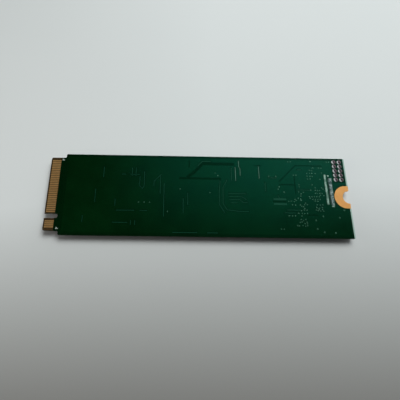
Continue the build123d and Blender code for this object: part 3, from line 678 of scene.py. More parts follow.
class Workshop:
    """Adds primitives, shapes them and hands them over. Sizes are in card millimetres."""

    @staticmethod
    def clear() -> None:
        """Leaves edit mode and deselects everything."""
        if bpy.context.object is not None and bpy.context.object.mode != "OBJECT":
            bpy.ops.object.mode_set(mode="OBJECT")
        bpy.ops.object.select_all(action="DESELECT")

    @classmethod
    def pick(cls, *pieces: Piece) -> None:
        """Selects these pieces alone, with the first one active.

        Args:
            pieces: what to select.
        """
        cls.clear()
        for piece in pieces:
            piece.select_set(True)
        bpy.context.view_layer.objects.active = pieces[0]

    @staticmethod
    def settle(name: str) -> Piece:
        """Names the newest primitive and moves its place into its mesh.

        Args:
            name: its name.

        Returns:
            The piece.
        """
        piece = bpy.context.object
        piece.name = name
        bpy.ops.object.transform_apply(location=True, rotation=True, scale=True)
        return piece

    @classmethod
    def block(cls, name: str, low: Sequence[float], high: Sequence[float]) -> Piece:
        """A block between two corners.

        Args:
            name: the piece's name.
            low: its lowest corner.
            high: its highest corner.

        Returns:
            The block.
        """
        cls.clear()
        middle = [(a + b) / 2 for a, b in zip(low, high)]
        size = [b - a for a, b in zip(low, high)]
        bpy.ops.mesh.primitive_cube_add(size=1.0, location=middle, scale=size)
        return cls.settle(name)

    @classmethod
    def disc(cls, name: str, place: Point, radius: float, z0: float, z1: float, sides: int = 24) -> Piece:
        """An upright cylinder between two levels.

        Args:
            name: the piece's name.
            place: x and y of its middle line.
            radius: its radius.
            z0: one end's level.
            z1: the other end's level.
            sides: how many flat sides it has.

        Returns:
            The cylinder.
        """
        cls.clear()
        bpy.ops.mesh.primitive_cylinder_add(
            vertices=sides, radius=radius, depth=abs(z1 - z0), location=(*place, (z0 + z1) / 2))
        return cls.settle(name)

    @classmethod
    @contextmanager
    def edit(cls, piece: Piece, rise: float = 0.0) -> Iterator[None]:
        """Keeps a piece in edit mode, with faces selected, for the lines of a with block.

        Args:
            piece: the piece to open.
            rise: 1 for the faces that look up, -1 for those that look down, 0 for all of them.

        Yields:
            Nothing.
        """
        cls.pick(piece)
        mesh = piece.data
        for part in (*mesh.vertices, *mesh.edges):
            part.select = False
        for face in mesh.polygons:
            face.select = not rise or face.normal.z * rise > FACING
        bpy.ops.object.mode_set(mode="EDIT")
        bpy.ops.mesh.select_mode(type="FACE")
        yield
        bpy.ops.object.mode_set(mode="OBJECT")

    @staticmethod
    def raise_face(height: float, shrink: float) -> None:
        """Extrudes the selected faces along z and scales their new outline."""
        bpy.ops.mesh.extrude_region_move(TRANSFORM_OT_translate={"value": (0.0, 0.0, height)})
        bpy.ops.transform.resize(value=(shrink, shrink, 1.0))

    @staticmethod
    def move_middle(border: float, height: float) -> None:
        """Moves the selected face along z, inside a sloping border of this width."""
        bpy.ops.mesh.inset(thickness=border)
        bpy.ops.transform.translate(value=(0.0, 0.0, height))

    @staticmethod
    def fit_face(height: float, old: Sequence[float], new: Sequence[float]) -> None:
        """Extrudes the selected face along z and fits its outline to a new rectangle.

        Args:
            height: how far the face moves.
            old: x0, x1, y0, y1 of its outline before.
            new: x0, x1, y0, y1 of its outline after, not the same as before.
        """
        bpy.ops.mesh.extrude_region_move(TRANSFORM_OT_translate={"value": (0.0, 0.0, height)})
        scales, centres = [], []
        for a, b, c, d in ((*old[:2], *new[:2]), (*old[2:], *new[2:])):
            scale = (d - c) / (b - a)
            scales.append(scale)
            centres.append((c - scale * a) / (1.0 - scale))
        bpy.ops.transform.resize(value=(*scales, 1.0), center_override=(*centres, 0.0))

    @classmethod
    def modify(cls, piece: Piece, kind: str, **settings: object) -> Piece:
        """Adds one modifier and applies it.

        Args:
            piece: the piece.
            kind: the modifier's type name.
            settings: its attributes.

        Returns:
            The same piece.
        """
        modifier = piece.modifiers.new(kind.lower(), kind)
        for name, value in settings.items():
            setattr(modifier, name, value)
        cls.pick(piece)
        bpy.ops.object.modifier_apply(modifier=modifier.name)
        return piece

    @classmethod
    def soften(cls, piece: Piece, width: float, segments: int = 2, angle: float = 30.0) -> Piece:
        """Rounds the edges of a piece."""
        return cls.modify(piece, "BEVEL", width=width, segments=segments, limit_method="ANGLE",
                          angle_limit=math.radians(angle), use_clamp_overlap=True)

    @classmethod
    def smooth(cls, piece: Piece, angle: float = 40.0) -> Piece:
        """Shades a piece smooth across edges flatter than an angle.

        Args:
            piece: the piece.
            angle: the angle in degrees.

        Returns:
            The same piece.
        """
        cls.pick(piece)
        bpy.ops.object.shade_smooth_by_angle(angle=math.radians(angle))
        return piece

    @classmethod
    def cut(cls, piece: Piece, cutters: Sequence[Piece], operation: str = "DIFFERENCE") -> Piece:
        """Cuts a piece with others, or joins them to it as one solid, and removes them.

        Args:
            piece: the piece that stays.
            cutters: the pieces that are used up.
            operation: the Boolean modifier's operation.

        Returns:
            The piece that stays.
        """
        tray = bpy.data.collections.new("cutters")
        bpy.context.scene.collection.children.link(tray)
        for cutter in cutters:
            tray.objects.link(cutter)
        cls.modify(piece, "BOOLEAN", operand_type="COLLECTION", collection=tray,
                   operation=operation, solver="EXACT")
        for cutter in list(tray.objects):
            bpy.data.objects.remove(cutter)
        bpy.data.collections.remove(tray)
        return piece

    @classmethod
    def join(cls, name: str, pieces: Sequence[Piece]) -> Piece:
        """Joins pieces into one object, and keeps each one's mesh as a part of it.

        Args:
            name: the joined piece's name.
            pieces: what to join.

        Returns:
            The joined piece.
        """
        cls.pick(*pieces)
        if len(pieces) > 1:
            bpy.ops.object.join()
        pieces[0].name = name
        return pieces[0]

    @classmethod
    def repeat(cls, name: str, master: Piece, places: Iterable[Sequence[float]]) -> Piece:
        """Copies a master piece to each place, then uses the master up.

        Args:
            name: the name of the joined piece.
            master: the piece that is modelled once.
            places: x and y of each copy, and its turn in degrees where it has one.

        Returns:
            All the copies as one object.
        """
        copies = []
        for x, y, *turns in places:
            copy = bpy.data.objects.new(name, master.data.copy())
            bpy.context.scene.collection.objects.link(copy)
            turn = math.radians(turns[0] if turns else 0.0)
            copy.data.transform(Matrix.Translation((x, y, 0.0)) @ Matrix.Rotation(turn, 4, "Z"))
            copies.append(copy)
        bpy.data.objects.remove(master)
        return cls.join(name, copies)

    @classmethod
    def ribbon(cls, name: str, line: Line, width: float, z0: float, z1: float,
               closed: bool = False) -> Piece:
        """A flat strip of one width along a line with corners.

        Args:
            name: the piece's name.
            line: the corners of its middle line.
            width: the strip's width.
            z0: its lower level.
            z1: its upper level.
            closed: whether the line comes back to its start.

        Returns:
            The strip.
        """
        cls.clear()
        corners = [*line, line[0]] if closed else line
        bpy.ops.mesh.primitive_plane_add(size=0.02, location=(*corners[0], z0))
        piece = cls.settle(name)
        with cls.edit(piece):
            bpy.ops.mesh.select_mode(type="VERT")
            bpy.ops.mesh.select_all(action="SELECT")
            bpy.ops.mesh.merge(type="CENTER")
            for (x0, y0), (x1, y1) in zip(corners, corners[1:]):
                bpy.ops.mesh.extrude_region_move(TRANSFORM_OT_translate={"value": (x1 - x0, y1 - y0, 0.0)})
            bpy.ops.mesh.select_all(action="SELECT")
            bpy.ops.mesh.remove_doubles(threshold=0.002)
            bpy.ops.mesh.extrude_region_move(TRANSFORM_OT_translate={"value": (0.0, 0.0, z1 - z0)})
        return cls.modify(piece, "SOLIDIFY", thickness=width, offset=0.0, use_even_offset=True)

    @classmethod
    def ribbons(cls, name: str, lines: Iterable[Line], width: float, z0: float, z1: float) -> list[Piece]:
        """One flat strip along each line, between the lower and the upper of two levels."""
        return [cls.ribbon(name, line, width, *sorted((z0, z1))) for line in lines]

    @classmethod
    def hand_over(cls, piece: Piece, finish: Finish, replaced: Sequence[str] = ()) -> Piece:
        """Turns a piece's millimetres into the frame's metres, dresses it and registers it.

        Args:
            piece: the finished piece, in card millimetres.
            finish: what it is made of.
            replaced: the CAD nodes that it stands for.

        Returns:
            The same piece.
        """
        piece.data.transform(Matrix.Scale(MM, 4) @ Matrix.Translation(-TO_CARD))
        piece.data.materials.clear()
        piece.data.materials.append(finish.material())
        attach(piece, "root")
        if replaced:
            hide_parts(*replaced)
        LOG.info("%s: %d faces", piece.name, len(piece.data.polygons))
        return piece


@dataclass(frozen=True)
class Span:
    """The box of one loose solid of a CAD node, in card millimetres."""

    low: Vector
    high: Vector

    @classmethod
    def of(cls, points: Iterable[Sequence[float]]) -> "Span":
        """The box round some points."""
        columns = list(zip(*points))
        return cls(Vector(map(min, columns)), Vector(map(max, columns)))

    @property
    def middle(self) -> Vector:
        """The middle of the box."""
        return (self.low + self.high) / 2

    @property
    def size(self) -> Vector:
        """How far the box reaches along each axis."""
        return self.high - self.low

    def outline(self, grow: float) -> tuple[float, float, float, float]:
        """x0, x1, y0 and y1 of the box seen from above, each moved outward."""
        return self.low.x - grow, self.high.x + grow, self.low.y - grow, self.high.y + grow

    def moved(self, shift: Vector) -> "Span":
        """The same box at another place."""
        return Span(self.low + shift, self.high + shift)


class CadNodes:
    """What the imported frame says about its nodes, in card millimetres."""

    @staticmethod
    def span(node: str) -> Span:
        """The box of a whole node."""
        low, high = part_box(node)
        return Span(low / MM, high / MM).moved(TO_CARD)

    @classmethod
    def solids(cls, node: str) -> list[Span]:
        """The boxes of a node's loose solids, found by the corners that their faces share.

        Args:
            node: the CAD node's name.

        Returns:
            One box for each solid.
        """
        mesh = frame["nodes"][node].data
        places = [tuple(round(c / MM, 3) for c in vertex.co) for vertex in mesh.vertices]
        leader = {place: place for place in places}

        def root(place: tuple) -> tuple:
            """Follows a corner to the one that stands for its solid.

            Args:
                place: the corner.

            Returns:
                The corner that stands for it.
            """
            while leader[place] != place:
                leader[place] = leader[leader[place]]
                place = leader[place]
            return place

        for face in mesh.polygons:
            first = root(places[face.vertices[0]])
            for index in face.vertices[1:]:
                leader[root(places[index])] = first
        groups: dict[tuple, list[tuple]] = {}
        for place in leader:
            groups.setdefault(root(place), []).append(place)
        return [Span.of(group).moved(TO_CARD) for group in groups.values()]

    @classmethod
    def rounded(cls, node: str, width: float, segments: int = 2) -> Piece:
        """A merged copy of a node with its edges rounded, in card millimetres.

        Args:
            node: the CAD node's name.
            width: the rounding's width in millimetres.
            segments: how many faces the rounding has.

        Returns:
            The copy.
        """
        piece = bpy.data.objects.new(node + "_softened", frame["nodes"][node].data.copy())
        bpy.context.scene.collection.objects.link(piece)
        piece.data.transform(Matrix.Translation(TO_CARD) @ Matrix.Scale(1.0 / MM, 4))
        with Workshop.edit(piece):
            bpy.ops.mesh.remove_doubles(threshold=0.001)
            bpy.ops.mesh.dissolve_limited(angle_limit=math.radians(1.0))
        return Workshop.soften(piece, width, segments)


# The face without chips


@dataclass
class CopperFace:
    """What the copper of both faces shares. Each face gives the sizes that have no value here."""

    laminate: float  # level of the laminate
    rise: float  # 1 where the face looks up, -1 where it looks down
    pour_level: float
    pour_inset: float
    trace_width: float
    gap_width: float
    via_radius: float
    via_level: float
    via_crown: float  # how far a via's ring stands over its foot
    via_sides: int
    cut_levels: Point  # between these, a gap's cutter goes right through the pour
    outline_levels: Point  # and the cutters of the pour's outline
    via_shrink: float = 0.86  # the ring's top against its foot
    via_border: float = 0.42  # width of the ring, as a share of its radius
    via_dip: float = 0.004  # how far the via's middle lies under the ring's foot
    pour_start: float = 4.7
    pour_end: float = 79.5
    pad_clearance: float = 0.22
    header_clearance: Point = (0.28, 0.25)

    @property
    def seat(self) -> float:
        """The level that copper starts from, inside the laminate."""
        return self.laminate - self.rise * SEAT

    def level(self, offset: float) -> float:
        """A level at some height over the pour's mask."""
        return self.pour_level + self.rise * offset

    def plate(self, name: str) -> Piece:
        """The broad copper, before anything is cut from it.

        Args:
            name: the piece's name.

        Returns:
            The plate.
        """
        half = CARD_HALF - self.pour_inset
        z0, z1 = sorted((self.seat, self.pour_level))
        return Workshop.block(name, (self.pour_start, -half, z0), (self.pour_end, half, z1))

    def outline_cutters(self) -> list[Piece]:
        """What keeps the pour clear of the screw pad and of the service header.

        Returns:
            The cutters.
        """
        pad = CadNodes.span("card_end_plating")
        holes = CadNodes.span("header_hole_platings")
        low, high = self.outline_levels
        bend = pad.low.x + pad.size.y / 2
        radius = pad.size.y / 2 + self.pad_clearance
        x, y = self.header_clearance
        return [
            Workshop.disc("pad_bend", (bend, 0.0), radius, low, high, 64),
            Workshop.block("pad_legs", (bend, -radius, low), (PAST_CARD[0], radius, high)),
            Workshop.block("header_field", (holes.low.x - x, holes.low.y - y, low), (*PAST_CARD, high)),
        ]

    def via(self, radius: float) -> Piece:
        """One via: a low ring with the mask sunk in its middle.

        Args:
            radius: the ring's radius.

        Returns:
            The via.
        """
        via = Workshop.disc("via", (0.0, 0.0), radius, self.laminate, self.via_level, self.via_sides)
        with Workshop.edit(via, self.rise):
            Workshop.raise_face(self.rise * self.via_crown, self.via_shrink)
            Workshop.move_middle(radius * self.via_border, -self.rise * (self.via_crown + self.via_dip))
        return Workshop.smooth(via, 60.0)


@dataclass
class BareFace(CopperFace):
    """What shows on the face without chips: copper under mask, vias and print."""

    laminate: float = BARE_FACE
    rise: float = 1.0
    pour_level: float = 1.955
    pour_inset: float = 0.62
    trace_width: float = 0.17
    gap_width: float = 0.42
    via_radius: float = 0.145
    via_level: float = 1.957
    via_crown: float = 0.005
    via_sides: int = 14
    cut_levels: Point = (1.73, 2.155)
    outline_levels: Point = (0.93, 2.955)
    pour_rim: Point = (0.012, 0.002)  # width and height of the pour's sloping rim
    trace_lift: float = 0.001  # how far a trace stands over the pour
    bar_width: float = 0.5
    bar_lift: float = 0.003
    guard_width: float = 0.12
    guard_sink: float = 0.004
    guard_offset: float = 0.02  # from the middle of the bare rim
    guard_start: Point = (79.6, -3.6)
    guard_end: float = 76.2
    test_pad_share: float = 1.3  # how much wider a test pad is than a via
    tick_width: float = 0.17
    tick_sink: float = 0.001  # how far a tick reaches into the laminate
    print_lift: float = 0.001
    print_thickness: float = 0.007
    print_rounding: float = 0.04

    gaps: tuple[tuple[float, Line], ...] = (  # width and line
        # the screw end: the edge of the controller's pour
        (0.30, ((61.4, 4.0), (66.3, 8.75), (73.6, 8.75))), (0.30, ((61.4, 3.2), (65.7, 3.2))),
        (0.26, ((65.7, 5.75), (65.7, 0.6))), (0.34, ((59.4, -1.45), (63.0, -1.45))),
        (0.30, ((68.2, -5.0), (71.0, -5.0))),
        # the middle: two broad bands
        (0.85, ((36.6, 4.7), (38.9, 6.6), (40.9, 8.85), (49.6, 8.85))), (0.55, ((34.6, 4.6), (45.8, 4.6))),
        (0.28, ((37.3, 9.7), (37.3, 7.6))), (0.26, ((54.9, 8.6), (57.0, 8.6))),
    )
    traces: tuple[Line, ...] = (
        # beside the memory
        ((48.7, 7.8), (48.7, 4.1)), ((57.7, 3.8), (57.7, 1.3)), ((47.7, 0.5), (52.4, 0.5)),
        ((47.7, -0.3), (51.2, -0.3), (52.4, -1.1)),
        ((47.9, -1.1), (50.6, -1.1), (51.6, -1.9), (52.7, -1.9)), ((48.3, -2.0), (50.0, -2.0)),
        ((47.5, 4.4), (46.3, 2.2), (46.2, -2.3), (47.2, -3.9), (50.4, -4.3), (52.9, -4.3)),
        ((45.6, 4.0), (45.3, 1.5), (45.3, -2.6), (46.6, -4.8)),
        # beside the second flash package
        ((30.6, 3.1), (30.6, -5.9)), ((29.6, 5.2), (29.6, 0.2)), ((29.8, 5.6), (27.9, 3.6), (27.9, 2.2)),
        ((35.7, -0.9), (35.7, -5.0)), ((36.9, 0.6), (36.9, -2.8)), ((33.0, -10.0), (39.3, -10.0)),
        ((41.8, -10.0), (44.6, -10.0)), ((39.6, 8.2), (40.9, 9.6), (43.2, 9.6)),
        # beside the first flash package
        ((14.4, 7.5), (14.4, 4.5)), ((12.6, 1.3), (12.6, -2.3)), ((17.9, -1.4), (17.9, -3.2)),
        ((9.8, -5.9), (9.8, -7.6)), ((21.5, 5.5), (24.0, 5.5)), ((22.0, 7.4), (22.0, 5.0)),
        ((23.0, 7.4), (23.0, 5.0)), ((24.1, 5.0), (24.1, 2.3), (24.9, 1.6), (25.3, 2.3), (25.3, 6.4)),
        ((19.2, 5.5), (20.3, 5.5)), ((18.3, -4.4), (23.0, -4.4)), ((24.4, -4.4), (26.4, -4.4)),
        ((17.5, -7.6), (21.4, -7.6)), ((22.2, -7.0), (22.2, -8.2)), ((23.3, -7.0), (23.3, -8.2)),
        # at the controller
        ((66.2, 1.8), (69.4, 1.8)), ((63.0, -3.7), (66.6, -3.7)), ((62.2, -4.5), (65.3, -4.5)),
        ((58.6, 5.1), (60.9, 5.1)), ((66.7, 7.6), (67.8, 7.6)), ((60.9, 0.2), (61.2, -0.6)),
    )
    glint_traces: tuple[Line, ...] = (  # painted brighter than the rest, as glints where these traces catch the light
        ((49.8, 8.0), (49.8, 4.1)), ((50.8, 9.9), (50.8, 8.2), (51.1, 7.4), (51.1, 5.6)),
        ((56.2, 8.3), (56.2, 4.9)),
    )
    bars: tuple[Line, ...] = (
        ((59.6, -0.85), (63.0, -0.85)), ((59.6, -2.15), (63.0, -2.15)),
    )
    vias: tuple[Point, ...] = (
        (64.4, 9.9), (65.1, 9.9), (75.1, 9.95), (75.7, 9.95), (71.1, 8.16), (72.7, 8.16), (73.4, 8.16),
        (70.1, 7.4), (70.7, 7.4), (69.3, 6.55), (70.05, 6.55), (70.7, 6.55), (71.6, 6.55), (73.4, 6.7),
        (69.3, 5.75), (70.05, 5.75), (70.7, 5.75), (65.6, 6.0), (66.3, 6.0), (69.3, 4.95), (70.1, 4.95),
        (72.7, 4.9), (58.8, 5.55), (60.7, 5.55), (61.4, 2.6), (66.8, 3.3), (66.8, 2.7), (70.4, 3.3),
        (71.1, 2.5), (72.8, 2.5), (69.8, 1.75), (71.0, 1.75), (71.6, 1.75), (72.2, 1.75),
        (71.0, 0.95), (71.6, 0.95), (72.2, 0.95), (72.8, 0.95), (73.2, 0.35),
        (69.3, 0.0), (69.95, 0.0), (70.6, 0.0), (71.25, 0.0), (71.9, 0.0),
        (70.1, -0.75), (70.75, -0.75), (71.4, -0.75), (72.05, -0.75),
        (66.5, 1.2), (67.1, 0.75), (67.8, 1.15), (67.0, 0.1), (61.1, 1.9),
        (65.3, -0.8), (66.2, -0.5), (63.6, -1.4), (64.3, -1.3), (65.1, -1.45),
        (64.5, -2.3), (65.3, -2.4), (66.6, -2.3), (67.4, -2.8), (68.0, -1.8),
        (71.1, -2.2), (71.9, -2.3), (72.6, -2.2), (70.9, -3.0), (71.6, -3.1), (72.4, -3.0),
        (71.1, -3.8), (71.8, -3.9), (72.6, -3.9), (67.5, -3.7), (68.2, -3.7), (67.5, -4.6), (68.2, -4.6),
        (65.9, -4.6), (63.4, -5.3), (64.2, -5.3), (65.0, -5.3), (66.7, -5.3),
        (66.4, -6.2), (67.0, -6.5), (67.6, -6.2), (67.9, -6.9), (67.3, -7.3), (66.7, -7.8), (66.1, -7.0),
        (67.9, -7.8), (65.3, -7.8), (61.0, -8.8), (61.7, -8.8), (24.0, -2.2), (25.5, -2.2), (26.9, -2.2),
        (45.0, 5.5), (44.3, 6.2), (34.9, 1.6), (42.8, 0.7), (31.6, -4.6),
        (73.15, 2.15), (72.25, 0.4), (69.35, -0.45), (70.7, -1.2), (71.4, -1.25), (70.65, -3.6),
        (71.4, -3.5), (72.35, -3.5), (65.65, -1.1), (66.85, -0.65), (66.9, -2.7), (67.7, -2.25),
        (68.45, -2.2), (67.7, -3.25),
        (66.75, -3.85), (66.85, -4.55), (66.55, -6.85), (67.9, -7.35), (65.75, -7.9), (67.4, -7.95),
    )
    test_pads: tuple[Point, ...] = (
        (70.6, 10.0), (62.6, 1.1), (72.3, -5.3), (76.6, -5.6), (70.3, -6.4), (75.0, -9.6), (72.1, -9.5),
        (70.4, -8.6), (78.1, -3.6), (66.9, -1.0),
    )
    print_bars: tuple[tuple[str, Line, float, Finish], ...] = (
        ("print_long_bar", ((74.1, 6.25), (74.1, -2.05)), 0.5, THIN_INK),
        ("print_broad_bar", ((75.42, 5.2), (75.42, -2.3)), 0.74, WORN_INK),
        ("print_dark_bar", ((74.88, 5.45), (74.88, -2.1)), 0.30, DARK_INK),
        ("print_short_bar", ((74.98, 6.1), (74.98, 5.72)), 0.42, THIN_INK),
        ("print_dash_low", ((74.95, -2.6), (75.7, -2.6)), 0.3, THIN_INK),
    )
    print_ticks: tuple[tuple[str, Line], ...] = (
        ("print_tick_far", ((3.0, 9.62), (3.37, 9.3))),
        ("print_tick_far_foot", ((2.95, 9.26), (3.6, 9.26))),
        ("print_tick_near", ((3.4, -9.0), (3.7, -9.42))),
        ("print_tick_near_foot", ((3.3, -9.42), (3.95, -9.42))),
    )

    def pour(self) -> None:
        """The broad copper under the mask, with a soft rim and with its gaps cut through."""
        plate = self.plate("bare_side_pour")
        with Workshop.edit(plate, self.rise):
            Workshop.move_middle(*self.pour_rim)
        cutters = self.outline_cutters()
        for width, line in self.gaps:
            cutters += Workshop.ribbons("gap", [line], width, *self.cut_levels)
        lines = map(self.lengthened, self.traces + self.glint_traces)
        Workshop.cut(plate, cutters + Workshop.ribbons("gap", lines, self.gap_width, *self.cut_levels))
        Workshop.hand_over(plate, POUR)

    def lengthened(self, line: Line) -> Line:
        """A line with both ends moved outward by the clearance round a trace.

        Args:
            line: the line's corners.

        Returns:
            The longer line's corners.
        """
        reach = (self.gap_width - self.trace_width) / 2
        ends = []
        for (x0, y0), (x1, y1) in ((line[0], line[1]), (line[-1], line[-2])):
            run = math.hypot(x1 - x0, y1 - y0)
            ends.append((x0 - (x1 - x0) * reach / run, y0 - (y1 - y0) * reach / run))
        return [ends[0], *line[1:-1], ends[1]]

    def edge_frame(self) -> None:
        """The narrow guard line of copper that runs round the card inside its edge."""
        inset = self.pour_inset / 2 + self.guard_offset
        x, y = TAB_DEPTH + inset, CARD_HALF - inset
        line = [self.guard_start, (self.guard_start[0], -y), (x, -y), (x, y), (self.guard_end, y)]
        top = self.level(-self.guard_sink)
        Workshop.hand_over(Workshop.ribbon("bare_side_guard", line, self.guard_width, self.seat, top), POUR)

    def wiring(self) -> None:
        """The traces and the wide bars, each in the middle of its gap, with some traces painted brighter as
        glints.
        """
        top = self.level(self.trace_lift)
        plain, bright = (Workshop.ribbons("trace", lines, self.trace_width, self.seat, top)
                         for lines in (self.traces, self.glint_traces))
        plain += Workshop.ribbons("bar", self.bars, self.bar_width, self.seat, self.level(self.bar_lift))
        Workshop.hand_over(Workshop.join("bare_side_traces", plain), TRACE)
        # the traces painted brighter as glints
        Workshop.hand_over(Workshop.join("bare_side_bright_traces", bright), GLINT_TRACE)

    def via_field(self) -> None:
        """The small vias and the larger test pads."""
        for name, share, places in (("bare_side_vias", 1.0, self.vias),
                                    ("bare_side_test_pads", self.test_pad_share, self.test_pads)):
            Workshop.hand_over(Workshop.repeat(name, self.via(self.via_radius * share), places), VIA)

    def print_marks(self) -> None:
        """Plain bars beside the screw pad, and short ticks at both ends of the contact row."""
        marks = [(*bar, self.level(self.print_lift)) for bar in self.print_bars]
        marks += [(name, line, self.tick_width, INK, self.laminate - self.tick_sink)
                  for name, line in self.print_ticks]
        for name, line, width, ink, base in marks:
            strip = Workshop.ribbon(name, line, width, base, base + self.print_thickness)
            Workshop.hand_over(Workshop.soften(strip, self.print_rounding), ink)

    def build(self) -> None:
        """Builds the whole face."""
        self.pour()
        self.edge_frame()
        self.wiring()
        self.via_field()
        self.print_marks()


@dataclass
class ServiceHeader:
    """Ten plated holes with domed tin rings, which stand for the plain CAD platings."""

    node: str = "header_hole_platings"
    hole_radius: float = 0.29
    lining_radius: float = 0.34
    ring_radius: float = 0.57
    ring_foot: float = 0.012
    dome: tuple[Point, ...] = ((0.011, 0.90), (0.012, 0.62))  # each step's height, and the width left
    bore: Point = (0.9, 2.3)  # the levels between which the hole is drilled
    sides: int = 32

    def master(self) -> Piece:
        """One plated hole, rings and lining in one.

        Returns:
            The plated hole.
        """
        middle = (0.0, 0.0)
        hole = Workshop.disc("plated_hole", middle, self.lining_radius, FOIL_BOTTOM, FOIL_TOP, self.sides)
        rings = []
        for base, rise in ((BARE_FACE, 1.0), (CHIP_FACE, -1.0)):
            foot = base + rise * self.ring_foot
            rings.append(Workshop.disc("ring", middle, self.ring_radius, base, foot, self.sides))
            with Workshop.edit(rings[-1], rise):
                for height, shrink in self.dome:
                    Workshop.raise_face(rise * height, shrink)
        Workshop.cut(hole, rings, "UNION")
        Workshop.cut(hole, [Workshop.disc("bore", middle, self.hole_radius, *self.bore, self.sides)])
        Workshop.soften(hole, 0.008, 1, 50.0)
        return Workshop.smooth(hole, 50.0)

    def build(self) -> None:
        """Builds the ten holes at the places of the CAD platings."""
        places = [solid.middle.to_2d() for solid in CadNodes.solids(self.node)]
        piece = Workshop.repeat("service_header_holes", self.master(), places)
        Workshop.hand_over(piece, HEADER_TIN, [self.node])


# The face with chips


@dataclass(frozen=True)
class SmallPart:
    """One kind of small part: the stem of its two nodes, its finish and its roundings."""

    stem: str
    finish: Finish
    body_rounding: float = 0.02
    cap_rounding: float = 0.05

    @property
    def bodies(self) -> str:
        """The node of the bodies."""
        return self.stem + "_bodies"

    @property
    def caps(self) -> str:
        """The node of the end caps."""
        return self.stem + "_terminals"


@dataclass(frozen=True)
class Package:
    """One larger part: its body, the node of its leads or balls, and its moulded marks."""

    body: str
    contacts: str
    finish: Finish
    rounding: float = 0.05
    dimple: float = 0.0  # radius of the round mark in the corner of pin one
    dimple_inset: float = 0.9
    foot: float = 0.0  # length of a bent lead's foot, where the lead is longer than its joint
    balls: bool = False
    apart: bool = False  # several bodies, each with a window of its own

    def feet(self) -> list[Span]:
        """The boxes that the pour stays clear of.

        Returns:
            The boxes, in card millimetres.
        """
        if self.apart:
            return CadNodes.solids(self.body)
        return [CadNodes.span(self.body if self.balls else self.contacts)]


SMALL_PARTS = (
    SmallPart("small_capacitor", CAPACITOR),
    SmallPart("medium_capacitor", CAPACITOR, 0.03, 0.07),
    SmallPart("large_capacitor", CAPACITOR, 0.04, 0.09),
    SmallPart("chip_resistor", RESISTOR, 0.012, 0.03),
    SmallPart("ferrite_bead", FERRITE, 0.03, 0.06),
    SmallPart("input_fuse", FUSE, 0.02, 0.05),
)
PACKAGES = (
    Package("flash_1_package", "flash_1_solder_balls", GRID_PACKAGE, 0.05, 0.38, 1.0, balls=True),
    Package("flash_2_package", "flash_2_solder_balls", GRID_PACKAGE, 0.05, 0.38, 1.0, balls=True),
    Package("memory_package", "memory_solder_balls", GRID_PACKAGE, 0.05, 0.30, 0.9, balls=True),
    Package("controller_package", "controller_solder_balls", CONTROLLER, 0.05, 0.35, 2.1, balls=True),
    Package("power_manager_package", "power_manager_leads", MOULD, 0.04, 0.20, 0.55),
    Package("boot_flash_package", "boot_flash_leads", MOULD, 0.04, 0.16, 0.42),
    Package("load_switch_package", "load_switch_leads", MOULD, 0.04, 0.14, 0.38),
    Package("temperature_sensor_package", "temperature_sensor_leads", MOULD, 0.04, 0.12, 0.34),
    Package("regulator_package", "regulator_leads", MOULD, 0.03, 0.14, 0.42, foot=0.35),
    Package("inductor_cores", "inductor_terminals", FERRITE, 0.10, apart=True),
    Package("bulk_capacitor_case", "bulk_capacitor_terminals", BULK_CASE, 0.07),
)


